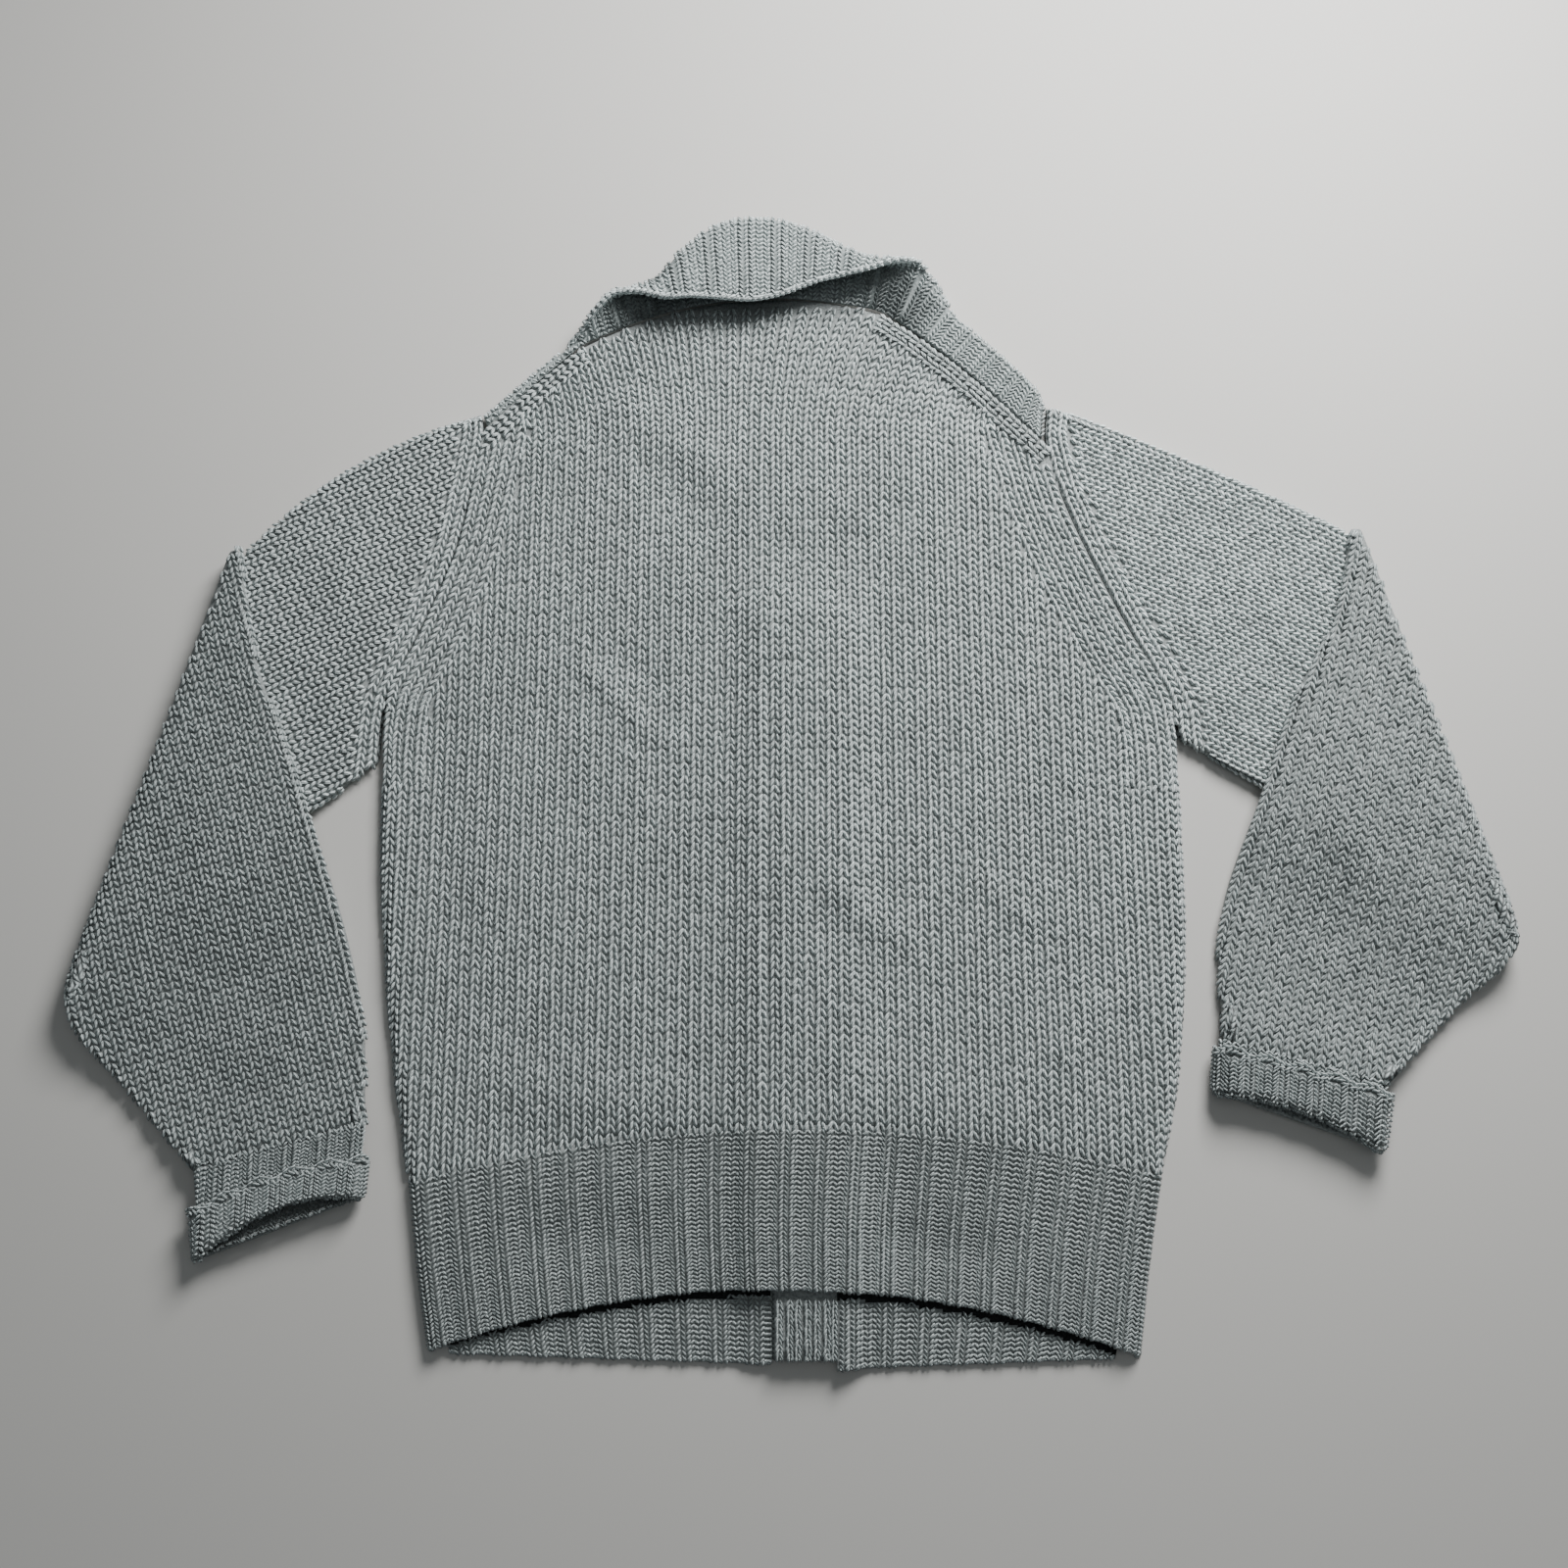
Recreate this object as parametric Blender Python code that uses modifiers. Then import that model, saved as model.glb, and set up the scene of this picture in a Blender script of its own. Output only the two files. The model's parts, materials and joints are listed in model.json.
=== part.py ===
"""Shawl collar cardigan in heavy knitted wool, laid face down on a flat surface.

The back is on top, the collar is towards +Y and the hem towards -Y, and left and right are the
wearer's, so the left sleeve is at -X. Each sleeve is folded across at the elbow, so its lower
stretch lies over the upper one, and each cuff is turned back. Tables are in millimetres from the
middle of the chest. Every piece is a knitted sheet of one thickness.
"""

import math

import bmesh
import bpy
from mathutils import Vector

MM = 0.001

# Driving sizes, in millimetres.
CLOTH = 3.8  # thickness of the knitted fabric
LAYER_GAP = 1.4  # air between two layers that lie on each other
SEAM = 0.3  # gap between two pieces that are sewn together
ANGLED_SEAM = 0.8  # the same where the two meet at an angle
TUBE = 2 * CLOTH + LAYER_GAP  # height of a flattened sleeve
BACK_UNDER = CLOTH + LAYER_GAP  # underside of the back, above the fronts
EDGE = TUBE  # radius of the body's rounded sides
BUTTON_DIAMETER = 22.0
BUTTON_THICK = 2.6
BUTTON_HOLE = 2.0
BUTTON_HOLE_SPREAD = 2.6
BUTTON_COUNT = 5
BAND_WIDTH = 38.0
BAND_SHY = 3.0  # how much narrower the buttonhole band is, so that it stays clear of the front
BAND_GAP = 0.4  # between the two bands, and between a band and a button
BAND_UNDER = BUTTON_THICK + BAND_GAP  # underside of the buttonhole band
BAND_OVER = BAND_UNDER + CLOTH + BAND_GAP  # underside of the button band
BAND_RAMP = 26.0  # each front climbs to its band over this width
EDGE_COLUMNS = 4
FOLD_SEGMENTS = 6  # round the collar's fold
SIDE_FLOOR = 1.0  # where the outer face of a rounded side ends, above the surface
CUFF_FOLD = CLOTH + 0.5  # from the cuff's inner layer to its turned-back layer
ORIGIN = (-0.02, -6.39)  # the tables' point that lies under the middle of the whole piece

# The body's outline from the rib seam up to the neck, shared by the back and the fronts. Below the
# underarm it is the side, then the raglan line, then the neck seam's slope. For the back, arch is
# how far the middle of the row lies above the line between its ends, and roll how far its sides
# are rounded down. For the fronts, inset is how far they end inside the outline.
BODY_ROWS = [
    dict(at=0.00, left=(-238, -263), right=(227, -258), arch=30, roll=1.0, inset=6.8),
    dict(at=0.12, left=(-249, -200), right=(239, -205), arch=29, roll=1.0, inset=6.8),
    dict(at=0.28, left=(-259, -120), right=(247, -125), arch=25, roll=1.0, inset=6.8),
    dict(at=0.42, left=(-264, -45), right=(248, -50), arch=20, roll=1.0, inset=6.8),
    dict(at=0.55, left=(-263, 38), right=(245, 34), arch=12, roll=0.0, inset=6.8),
    dict(at=0.63, left=(-245, 78), right=(218, 86), arch=10, roll=0.0, inset=0.3),
    dict(at=0.72, left=(-222, 138), right=(193, 138), arch=14, roll=0.0, inset=0.3),
    dict(at=0.80, left=(-213, 180), right=(177, 178), arch=24, roll=0.0, inset=0.3),
    dict(at=0.88, left=(-206, 222), right=(168, 213), arch=38, roll=0.0, inset=0.3),
    dict(at=0.94, left=(-175, 252), right=(113, 266), arch=34, roll=0.0, inset=0.3),
    dict(at=1.00, left=(-143, 280), right=(62, 304), arch=22, roll=0.0, inset=0.3),
]
BACK_HEM_ROWS = [
    dict(at=0.0, left=(-222, -364), right=(209, -367), arch=38, roll=1.0),
    dict(at=0.5, left=(-230, -320), right=(216, -318), arch=36, roll=1.0),
    dict(at=1.0, left=(-238, -263), right=(227, -258), arch=30, roll=1.0),
]
# Where the flat part of an upper row has its columns, closer together over the front bands.
UPPER_COLUMNS = [0, 0.09, 0.18, 0.27, 0.36, 0.437, 0.486, 0.53]
UPPER_COLUMNS += [0.575, 0.624, 0.7, 0.775, 0.85, 0.925, 1]
# The fronts' inner edges, which the bands and the collar join, by the same places as the body.
FRONT_EDGES = [
    dict(at=0.00, left=(-14, -268), right=(26, -268)),
    dict(at=0.28, left=(-14, -120), right=(26, -120)),
    dict(at=0.42, left=(-14, -40), right=(26, -40)),
    dict(at=0.55, left=(-14, 58), right=(26, 58)),
    dict(at=0.63, left=(-64, 104), right=(62, 106)),
    dict(at=0.72, left=(-124, 158), right=(104, 156)),
    dict(at=0.80, left=(-160, 190), right=(128, 183)),
    dict(at=0.88, left=(-190, 217), right=(150, 206)),
]
# The fronts' ribbed hems: their outer ends, at the sides, and their inner ends, at the bands.
FRONT_HEM_OUTER = [
    dict(at=0.0, left=(-208, -366), right=(194, -369)),
    dict(at=1.0, left=(-228.5, -276), right=(217, -276)),
]
FRONT_HEM_INNER = [
    dict(at=0.0, left=(-14, -372), right=(26, -375)),
    dict(at=1.0, left=(-14, -268), right=(26, -268)),
]
FRONT_DIP = 13  # how far a front's rib seam dips below the back's at the side
FRONT_DIP_IN = 2.5  # and how far in it ends there
BAND_TOP = 58
BAND_BOTTOM = -369
BAND_LEFT, BAND_RIGHT = -14.0, 26.0  # the outer edges of the two bands, which overlap
BAND_MIDDLE = (BAND_LEFT + BAND_RIGHT) / 2
# Where each sleeve's seam line goes on past the raglan, at the neck and under the arm.
SLEEVE_NECK = dict(left=(-207.5, 233), right=(169.5, 240))
SLEEVE_UNDERARM = dict(left=(-267, -4), right=(248, 12))
# The crease is the outer edge where the sleeve turns back over itself. The lower stretch runs from
# it to the cuff seam; over is its edge that crosses the upper stretch, and away the other one.
LEFT_SLEEVE = dict(
    crease=((-370, 140), (-454, -142)),
    shoulder_bulge=14,
    lower=[
        dict(at=0.0, over=(-369, 137), away=(-454, -142)),
        dict(at=0.2, over=(-345, 61), away=(-452, -160)),
        dict(at=0.4, over=(-317, -10), away=(-441, -180)),
        dict(at=0.6, over=(-291, -83), away=(-421, -202)),
        dict(at=0.8, over=(-270, -158), away=(-397, -228)),
        dict(at=1.0, over=(-263, -230), away=(-369, -256)),
    ],
    cuff=((-266, -274), (-361, -310)),
    turn_back=22,
)
RIGHT_SLEEVE = dict(
    crease=((374, 155), (454, -104)),
    shoulder_bulge=4,
    lower=[
        dict(at=0.0, over=(373, 150), away=(454, -104)),
        dict(at=0.2, over=(350, 90), away=(452, -120)),
        dict(at=0.4, over=(322, 38), away=(440, -137)),
        dict(at=0.6, over=(294, -31), away=(421, -153)),
        dict(at=0.8, over=(269, -106), away=(397, -177)),
        dict(at=1.0, over=(266, -180), away=(366, -206)),
    ],
    cuff=((263, -211), (358, -244)),
    turn_back=27,
)
DROP_REACH = 30.0  # the lower stretch comes down to the surface over this distance
# Collar stations along the neck seam, left to right, by their share of its length. heading is the
# way the collar leaves the seam, in degrees from +X; stand is its length to the fold, rise the
# slope of that, turn the angle of the fold (positive turns up and back over the neck, negative
# turns under), radius that of the fold, and fall the length past the fold.
COLLAR_STATIONS = [
    dict(at=0.008, heading=112, stand=4, rise=0, turn=-180, radius=0.0, fall=4),
    dict(at=0.05, heading=130, stand=3, rise=0, turn=-180, radius=0.0, fall=6),
    dict(at=0.13, heading=133, stand=3, rise=0, turn=-180, radius=0.0, fall=6),
    dict(at=0.18, heading=130, stand=4, rise=4, turn=-90, radius=4.5, fall=1),
    dict(at=0.22, heading=118, stand=5, rise=28, turn=30, radius=6.5, fall=4),
    dict(at=0.27, heading=110, stand=10, rise=34, turn=120, radius=7.0, fall=10),
    dict(at=0.34, heading=104, stand=15, rise=28, turn=165, radius=7.5, fall=19),
    dict(at=0.38, heading=98, stand=29, rise=20, turn=178, radius=7.5, fall=32),
    dict(at=0.43, heading=93, stand=42, rise=18, turn=184, radius=7.5, fall=36),
    dict(at=0.52, heading=90, stand=40, rise=18, turn=184, radius=7.5, fall=34),
    dict(at=0.61, heading=84, stand=25, rise=22, turn=180, radius=7.5, fall=20),
    dict(at=0.68, heading=70, stand=22, rise=22, turn=130, radius=7.0, fall=8),
    dict(at=0.73, heading=58, stand=25, rise=6, turn=-50, radius=6.0, fall=3),
    dict(at=0.79, heading=50, stand=21, rise=0, turn=-180, radius=0.0, fall=5),
    dict(at=0.88, heading=52, stand=21, rise=0, turn=-180, radius=0.0, fall=6),
    dict(at=0.95, heading=66, stand=21, rise=0, turn=-180, radius=0.0, fall=6),
    dict(at=0.992, heading=88, stand=20, rise=0, turn=-180, radius=0.0, fall=5),
]
# The inner edges of the collar's front stretches, which lie flat in the neck opening. Their outer
# edges are sewn to the fronts from the top of the bands up.
LAPEL_ROWS = [
    dict(at=0.55, left=(4, 66), right=(7, 66)),
    dict(at=0.63, left=(-18, 136), right=(26, 134)),
    dict(at=0.72, left=(-70, 196), right=(52, 186)),
    dict(at=0.80, left=(-102, 228), right=(70, 218)),
    dict(at=0.88, left=(-133, 256), right=(90, 246)),
]
# Soft swells of the upper layer: where, how wide and how high.
SWELLS = [
    dict(x=-20, y=190, wide=90, long=60, high=1.4),
    dict(x=110, y=-10, wide=70, long=90, high=1.6),
    dict(x=-150, y=-60, wide=60, long=110, high=1.2),
    dict(x=60, y=-190, wide=120, long=45, high=1.4),
    dict(x=-300, y=60, wide=60, long=50, high=1.5),
    dict(x=290, y=60, wide=55, long=50, high=1.5),
    dict(x=-350, y=-190, wide=50, long=60, high=1.4),
    dict(x=350, y=-140, wide=50, long=60, high=1.4),
]

WOOL = dict(color=(0.36, 0.38, 0.37, 1.0), roughness=0.95)
HORN = dict(color=(0.16, 0.12, 0.09, 1.0), roughness=0.45)


def clear_scene():
    for obj in list(bpy.data.objects):
        bpy.data.objects.remove(obj, do_unlink=True)


def make_material(name, color, roughness):
    material = bpy.data.materials.new(name)
    material.use_nodes = True
    shader = material.node_tree.nodes["Principled BSDF"]
    shader.inputs["Base Color"].default_value = color
    shader.inputs["Roughness"].default_value = roughness
    shader.inputs["Metallic"].default_value = 0.0
    return material


def ease(t):
    """Smooth step from 0 to 1."""
    t = min(max(t, 0.0), 1.0)
    return t * t * (3.0 - 2.0 * t)


def blend(a, b, t):
    return a + (b - a) * t


def along(rows, at, column):
    """The column's value at this place along the table, a number or a point."""
    for low, high in zip(rows, rows[1:]):
        if at <= high["at"] or high is rows[-1]:
            t = (at - low["at"]) / (high["at"] - low["at"])
            a, b = low[column], high[column]
            if isinstance(a, tuple):
                return Vector((blend(a[0], b[0], t), blend(a[1], b[1], t)))
            return blend(a, b, t)
    return None


def on_line(points, t):
    """The point at this place along a line, in equal shares for each of its segments."""
    place = t * (len(points) - 1)
    first = min(int(place), len(points) - 2)
    return Vector(points[first]).lerp(Vector(points[first + 1]), place - first)


def sleeve_seam(side):
    """Where a sleeve joins the body, from its neck end along the raglan and past the underarm."""
    column = "left" if side < 0 else "right"
    line = [row[column] for row in reversed(BODY_ROWS) if 0.55 <= row["at"] <= 0.88]
    return [SLEEVE_NECK[column]] + line + [SLEEVE_UNDERARM[column]]


def places(rows, between):
    """The table's own places, with this many steps from each to the next."""
    found = []
    for low, high in zip(rows, rows[1:]):
        found += [blend(low["at"], high["at"], i / between) for i in range(between)]
    return found + [rows[-1]["at"]]


def upper_point(table, at, share):
    """A point on an upper row, this share of the way across."""
    left, right = along(table, at, "left"), along(table, at, "right")
    point = left.lerp(right, share)
    point.y += along(table, at, "arch") * 4 * share * (1 - share)
    return point


def neck_line():
    """The neck seam along the back's upper edge, from one raglan to the other."""
    slope = [row for row in BODY_ROWS if 0.88 <= row["at"] < 1.0]
    top = [upper_point(BODY_ROWS, 1.0, i / 8) for i in range(9)]
    left_slope = [Vector(row["left"]) for row in slope]
    right_slope = [Vector(row["right"]) for row in reversed(slope)]
    return left_slope + top + right_slope


def by_length(points, t):
    """The point at this share of a line's whole length."""
    steps = [(b - a).length for a, b in zip(points, points[1:])]
    reach = t * sum(steps)
    for a, b, step in zip(points, points[1:], steps):
        if reach <= step:
            return a.lerp(b, reach / step)
        reach -= step
    return points[-1]


def swell(x, y):
    """Extra height of the upper layer here."""
    total = 0.0
    for spot in SWELLS:
        across = (x - spot["x"]) / spot["wide"]
        down = (y - spot["y"]) / spot["long"]
        total += spot["high"] * math.exp(-across * across - down * down)
    return min(total, 2.0)


def band_under(y, side):
    """Underside of the buttonhole band (side -1) or the button band (side 1) here."""
    over_buttons = BAND_UNDER * ease((BAND_TOP - y) / 24.0)
    if side < 0:
        return over_buttons
    return over_buttons + (CLOTH + BAND_GAP) * ease((BAND_TOP + 50.0 - y) / 50.0)


def band_lift(x, y):
    """How far the bands under it raise the back here."""
    plateau, slope = BAND_WIDTH / 2 + 4.0, 32.0
    beside = ease((plateau + slope - abs(x - BAND_MIDDLE)) / slope)
    full = BAND_OVER + CLOTH + 2 * BAND_GAP - BACK_UNDER
    return full * beside * ease((BAND_TOP + 90.0 - y) / 60.0)


def back_top(x, y):
    """Height of the back's upper face."""
    return BACK_UNDER + CLOTH + max(swell(x, y), band_lift(x, y))


def front_under(x, y, side):
    """Height of a front's underside, which climbs to its band: side is -1 left, 1 right."""
    from_edge = BAND_LEFT - x if side < 0 else x - BAND_RIGHT
    return band_under(y, side) * ease((BAND_RAMP - from_edge) / BAND_RAMP)


def finish(name, bm, collection, material, thickness=None, offset=-1.0):
    """Turns a bmesh in table millimetres into an object in metres, thickened to a sheet."""
    for vert in bm.verts:
        vert.co.x -= ORIGIN[0]
        vert.co.y -= ORIGIN[1]
        vert.co *= MM
    mesh = bpy.data.meshes.new(name)
    bm.to_mesh(mesh)
    bm.free()
    mesh.materials.append(material)
    obj = bpy.data.objects.new(name, mesh)
    collection.objects.link(obj)
    if thickness is not None:
        wall = obj.modifiers.new("Knit thickness", "SOLIDIFY")
        wall.thickness = thickness * MM
        wall.offset = offset
        wall.use_even_offset = True
        wall.use_quality_normals = True
    return obj


def grid(across, upward, point):
    """An open sheet with a vertex at point(u, v) for each u in across and each v in upward."""
    bm = bmesh.new()
    columns, rows = len(across) - 1, len(upward) - 1
    bmesh.ops.create_grid(bm, x_segments=columns, y_segments=rows, size=0.5)
    for vert in bm.verts:
        u = across[round((vert.co.x + 0.5) * columns)]
        v = upward[round((vert.co.y + 0.5) * rows)]
        vert.co = point(u, v)
    return bm


def steps(count):
    """Even shares from 0 to 1."""
    return [i / count for i in range(count + 1)]


def rounded_drop(distance):
    """How far a rounded side has come down this far in from its edge."""
    if distance >= EDGE:
        return 0.0
    return EDGE - math.sqrt(max(EDGE**2 - (EDGE - distance) ** 2, 0.0))


def upper_panel(name, table, between, collection, material, trim_low, trim_high):
    """A panel of the upper layer, with its sides rounded down to the surface."""
    rounding = [EDGE * (1 - math.cos(math.pi / 2 * i / EDGE_COLUMNS)) for i in range(EDGE_COLUMNS)]
    across = [("left", reach) for reach in rounding]
    across += [("flat", share) for share in UPPER_COLUMNS]
    across += [("right", reach) for reach in reversed(rounding)]
    first, last = table[0]["at"], table[-1]["at"]

    def point(column, at):
        left, right = along(table, at, "left"), along(table, at, "right")
        width = (right - left).length
        kind, value = column
        reach = value
        if kind == "flat":
            reach = EDGE + (width - 2 * EDGE) * value
        elif kind == "right":
            reach = width - value
        spot = upper_point(table, at, reach / width)
        if at == first:
            spot.y += trim_low
        if at == last:
            spot.y -= trim_high
        drop = max(rounded_drop(reach), rounded_drop(width - reach)) / EDGE
        top = back_top(spot.x, spot.y)
        return Vector((spot.x, spot.y, top - (top - SIDE_FLOOR) * drop * along(table, at, "roll")))

    return finish(name, grid(across, places(table, between), point), collection, material, CLOTH)


def lower_sheet(name, columns, upward, edges, side, collection, material, trim_low=0.0, trim_high=0.0):
    """A sheet of the lower layer between the two edge points that edges(at) gives."""

    def point(u, at):
        left, right = edges(at)
        spot = left.lerp(right, u)
        if at == upward[0]:
            spot.y += trim_low
        if at == upward[-1]:
            spot.y -= trim_high
        return Vector((spot.x, spot.y, front_under(spot.x, spot.y, side)))

    return finish(name, grid(steps(columns), upward, point), collection, material, CLOTH, offset=1.0)


def front(name, side, collection, material):
    """One front, from its rib seam up to the neck end of the raglan."""
    column = "left" if side < 0 else "right"

    def edges(at):
        outer = along(BODY_ROWS, at, column) - Vector((side * along(BODY_ROWS, at, "inset"), 0))
        if at == 0.0:
            outer += Vector((-side * FRONT_DIP_IN, -FRONT_DIP))
        inner = along(FRONT_EDGES, at, column) + Vector((side * SEAM, 0))
        return (outer, inner) if side < 0 else (inner, outer)

    return lower_sheet(name, 7, places(FRONT_EDGES, 1), edges, side, collection, material, SEAM)


def front_hem(name, side, collection, material):
    """The ribbed hem of one front."""
    column = "left" if side < 0 else "right"

    def edges(at):
        outer = along(FRONT_HEM_OUTER, at, column)
        inner = along(FRONT_HEM_INNER, at, column) + Vector((side * SEAM, 0))
        return (outer, inner) if side < 0 else (inner, outer)

    upward = places(FRONT_HEM_OUTER, 3)
    return lower_sheet(name, 7, upward, edges, side, collection, material, trim_high=SEAM)


def collar_front(name, side, collection, material):
    """The collar's stretch along one front, flat in the neck opening."""
    column = "left" if side < 0 else "right"

    def edges(at):
        outer = along(FRONT_EDGES, at, column) - Vector((side * 1.3 * SEAM, 0))
        inner = along(LAPEL_ROWS, at, column)
        return (outer, inner) if side < 0 else (inner, outer)

    upward = places(LAPEL_ROWS, 2)
    return lower_sheet(name, 3, upward, edges, side, collection, material, trim_low=2 * SEAM)


def section(width, columns, edge_segments, height):
    """A flattened tube's outline, as (share across, height above the middle) round the ring."""
    radius = height / 2
    flat = [radius / width] + [i / columns for i in range(1, columns)] + [1 - radius / width]
    bend = [math.pi / 2 - math.pi * i / edge_segments for i in range(1, edge_segments)]
    outline = [(share, radius) for share in flat]
    outline += [(1 - radius * (1 - math.cos(t)) / width, radius * math.sin(t)) for t in bend]
    outline += [(share, -radius) for share in reversed(flat)]
    outline += [(radius * (1 - math.cos(t)) / width, -radius * math.sin(t)) for t in bend]
    return outline


def bridge_rings(rings):
    """An open tube through these rings of points."""
    bm = bmesh.new()
    loops = []
    for ring in rings:
        verts = [bm.verts.new(p) for p in ring]
        loops.append([bm.edges.new((verts[i - 1], verts[i])) for i in range(len(verts))])
    for one, two in zip(loops, loops[1:]):
        bmesh.ops.bridge_loops(bm, edges=one + two)
    bmesh.ops.recalc_face_normals(bm, faces=bm.faces)
    return bm


def side_of(point, a, b):
    """Signed distance of a point from the line through a and b."""
    run = b - a
    return (run.x * (point.y - a.y) - run.y * (point.x - a.x)) / run.length


def sleeve(name, shape, side, collection, material):
    """One sleeve: flat from the raglan to the crease, round it, and back down to the cuff seam."""
    columns, edge_segments = 6, 4
    crease_a, crease_b = (Vector(p) for p in shape["crease"])
    run = (crease_b - crease_a).normalized()
    outward = Vector((run.y, -run.x)) * (1 if Vector((run.y, -run.x)).x * side > 0 else -1)
    turn_radius = TUBE / 2 + SEAM
    axis_height = TUBE + SEAM
    wrap = turn_radius + TUBE / 2
    axis_a, axis_b = crease_a - outward * wrap, crease_b - outward * wrap
    seam_line = sleeve_seam(side)
    neck_end, underarm = Vector(seam_line[0]), Vector(seam_line[-1])
    bulge_way = Vector((neck_end - crease_a).yx)
    bulge_way = Vector((abs(bulge_way.x) * side, abs(bulge_way.y))).normalized()
    rings = []

    # The upper stretch, from the raglan to the crease.
    for v in (0.0, 0.22, 0.45, 0.68, 0.86, 1.0):
        a = neck_end.lerp(axis_a, v)
        b = underarm.lerp(axis_b, v)
        ring = []
        for share, rise in section((b - a).length, columns, edge_segments, TUBE):
            start = on_line(seam_line, share) + Vector((side * ANGLED_SEAM, 0.0))
            end = axis_a.lerp(axis_b, share)
            at = start.lerp(end, v)
            at += bulge_way * shape["shoulder_bulge"] * 4 * v * (1 - v) * (1 - share) ** 2
            lift = swell(at.x, at.y) * ease((1 - v) / 0.3) if rise > 0 else 0.0
            ring.append(Vector((at.x, at.y, TUBE / 2 + rise + lift)))
        rings.append(ring)

    # Round the crease: the ring turns over about the crease's own line.
    for step in range(1, 5):
        angle = math.pi * step / 5
        away = outward.to_3d() * math.sin(angle) - Vector((0, 0, math.cos(angle)))
        ring = []
        for share, rise in section((axis_b - axis_a).length, columns, edge_segments, TUBE):
            at = axis_a.lerp(axis_b, share).to_3d()
            at.z = axis_height
            ring.append(at + away * (turn_radius - rise))
        rings.append(ring)

    # The lower stretch, over the upper one and then down to the surface.
    lower = shape["lower"]
    for v in (0.0, 0.1, 0.2, 0.3, 0.4, 0.5, 0.6, 0.72, 0.86, 1.0):
        a, b = along(lower, v, "over"), along(lower, v, "away")
        if v == 0.0:
            a, b = axis_a, axis_b
        elif v < 0.2:
            pull = (1 - v / 0.2) * wrap
            a, b = a - outward * pull, b - outward * pull
        ring = []
        for share, rise in section((b - a).length, columns, edge_segments, TUBE):
            at = a.lerp(b, share)
            inside = side_of(at, underarm, axis_b) * side
            on_top = ease((inside + DROP_REACH) / (DROP_REACH - 1.0)) if v > 0 else 1.0
            end_lift = CUFF_FOLD * ease((v - 0.7) / 0.3)
            middle = TUBE / 2 + max((TUBE + 2 * SEAM) * on_top, end_lift)
            ring.append(Vector((at.x, at.y, middle - rise)))
        rings.append(ring)
    return finish(name, bridge_rings(rings), collection, material, CLOTH)


def cuff(name, shape, collection, material):
    """A ribbed cuff, turned back over itself at the wrist."""
    columns, edge_segments = 6, 4
    seam_a, seam_b = along(shape["lower"], 1.0, "over"), along(shape["lower"], 1.0, "away")
    end_a, end_b = (Vector(p) for p in shape["cuff"])
    length = ((end_a - seam_a).length + (end_b - seam_b).length) / 2
    fold = CUFF_FOLD / 2
    stop = length - fold
    path = [(ANGLED_SEAM, 0.0), (stop * 0.5, 0.0), (stop, 0.0)]
    for i in (1, 2, 3):
        turn = math.pi * i / 4
        path.append((stop + fold * math.sin(turn), fold * (1 - math.cos(turn))))
    path += [(stop, CUFF_FOLD), (stop - shape["turn_back"] / 2, CUFF_FOLD)]
    path += [(stop - shape["turn_back"], CUFF_FOLD)]
    rings = []
    for reach, out in path:
        t = reach / length
        a, b = seam_a.lerp(end_a, t), seam_b.lerp(end_b, t)
        run = (b - a).normalized()
        a, b = a - run * (out - CLOTH / 2), b + run * (out - CLOTH / 2)
        height = TUBE - CLOTH + 2 * out
        ring = []
        for share, rise in section((b - a).length, columns, edge_segments, height):
            at = a.lerp(b, share)
            ring.append(Vector((at.x, at.y, TUBE / 2 + CUFF_FOLD + rise + 0.05)))
        rings.append(ring)
    return finish(name, bridge_rings(rings), collection, material, CLOTH, offset=0.0)


def collar_section(station, line):
    """The collar's middle surface at one station, from the seam past the fold to the free edge."""
    heading = math.radians(station["heading"])
    way = Vector((math.cos(heading), math.sin(heading)))
    start = by_length(line, station["at"])
    rise, turn = math.radians(station["rise"]), math.radians(station["turn"])
    out = ANGLED_SEAM + CLOTH / 2 * math.sin(abs(rise))
    up = back_top(start.x, start.y) - CLOTH / 2
    resting = (up - CLOTH / 2) / 2  # brings a stretch that turns right under to the surface
    radius = blend(station["radius"], resting, ease((-station["turn"] - 90) / 90))
    moves = [(station["stand"] / 3, rise)] * 3
    chord = 2 * radius * math.sin(abs(turn) / FOLD_SEGMENTS / 2)
    moves += [(chord, rise + turn * (i + 0.5) / FOLD_SEGMENTS) for i in range(FOLD_SEGMENTS)]
    moves += [(station["fall"] / 2, rise + turn)] * 2
    points = [(out, up)]
    for length, angle in moves:
        out += length * math.cos(angle)
        up = max(up + length * math.sin(angle), CLOTH / 2)
        points.append((out, up))
    return [(start + way * reach).to_3d() + Vector((0, 0, high)) for reach, high in points]


def collar(collection, material):
    """The collar round the back of the neck: it stands up, folds over, and turns under at each side."""
    line = neck_line()
    sections = []
    for at in places(COLLAR_STATIONS, 2):
        station = {key: along(COLLAR_STATIONS, at, key) for key in COLLAR_STATIONS[0]}
        sections.append(collar_section(station, line))
    columns, rows = len(sections) - 1, len(sections[0]) - 1
    bm = grid(range(columns + 1), range(rows + 1), lambda u, v: sections[u][v])
    return finish("collar", bm, collection, material, CLOTH, offset=0.0)


def band(name, x_low, x_high, side, collection, material):
    """One of the two narrow ribbed front bands, which overlap."""

    def point(u, v):
        y = blend(BAND_BOTTOM, BAND_TOP, v)
        return Vector((blend(x_low, x_high, u), y, band_under(y, side)))

    upward = [0.0, 0.25, 0.5, 0.75] + [0.88 + 0.02 * i for i in range(7)]
    return finish(name, grid(steps(2), upward, point), collection, material, CLOTH, offset=1.0)


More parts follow.
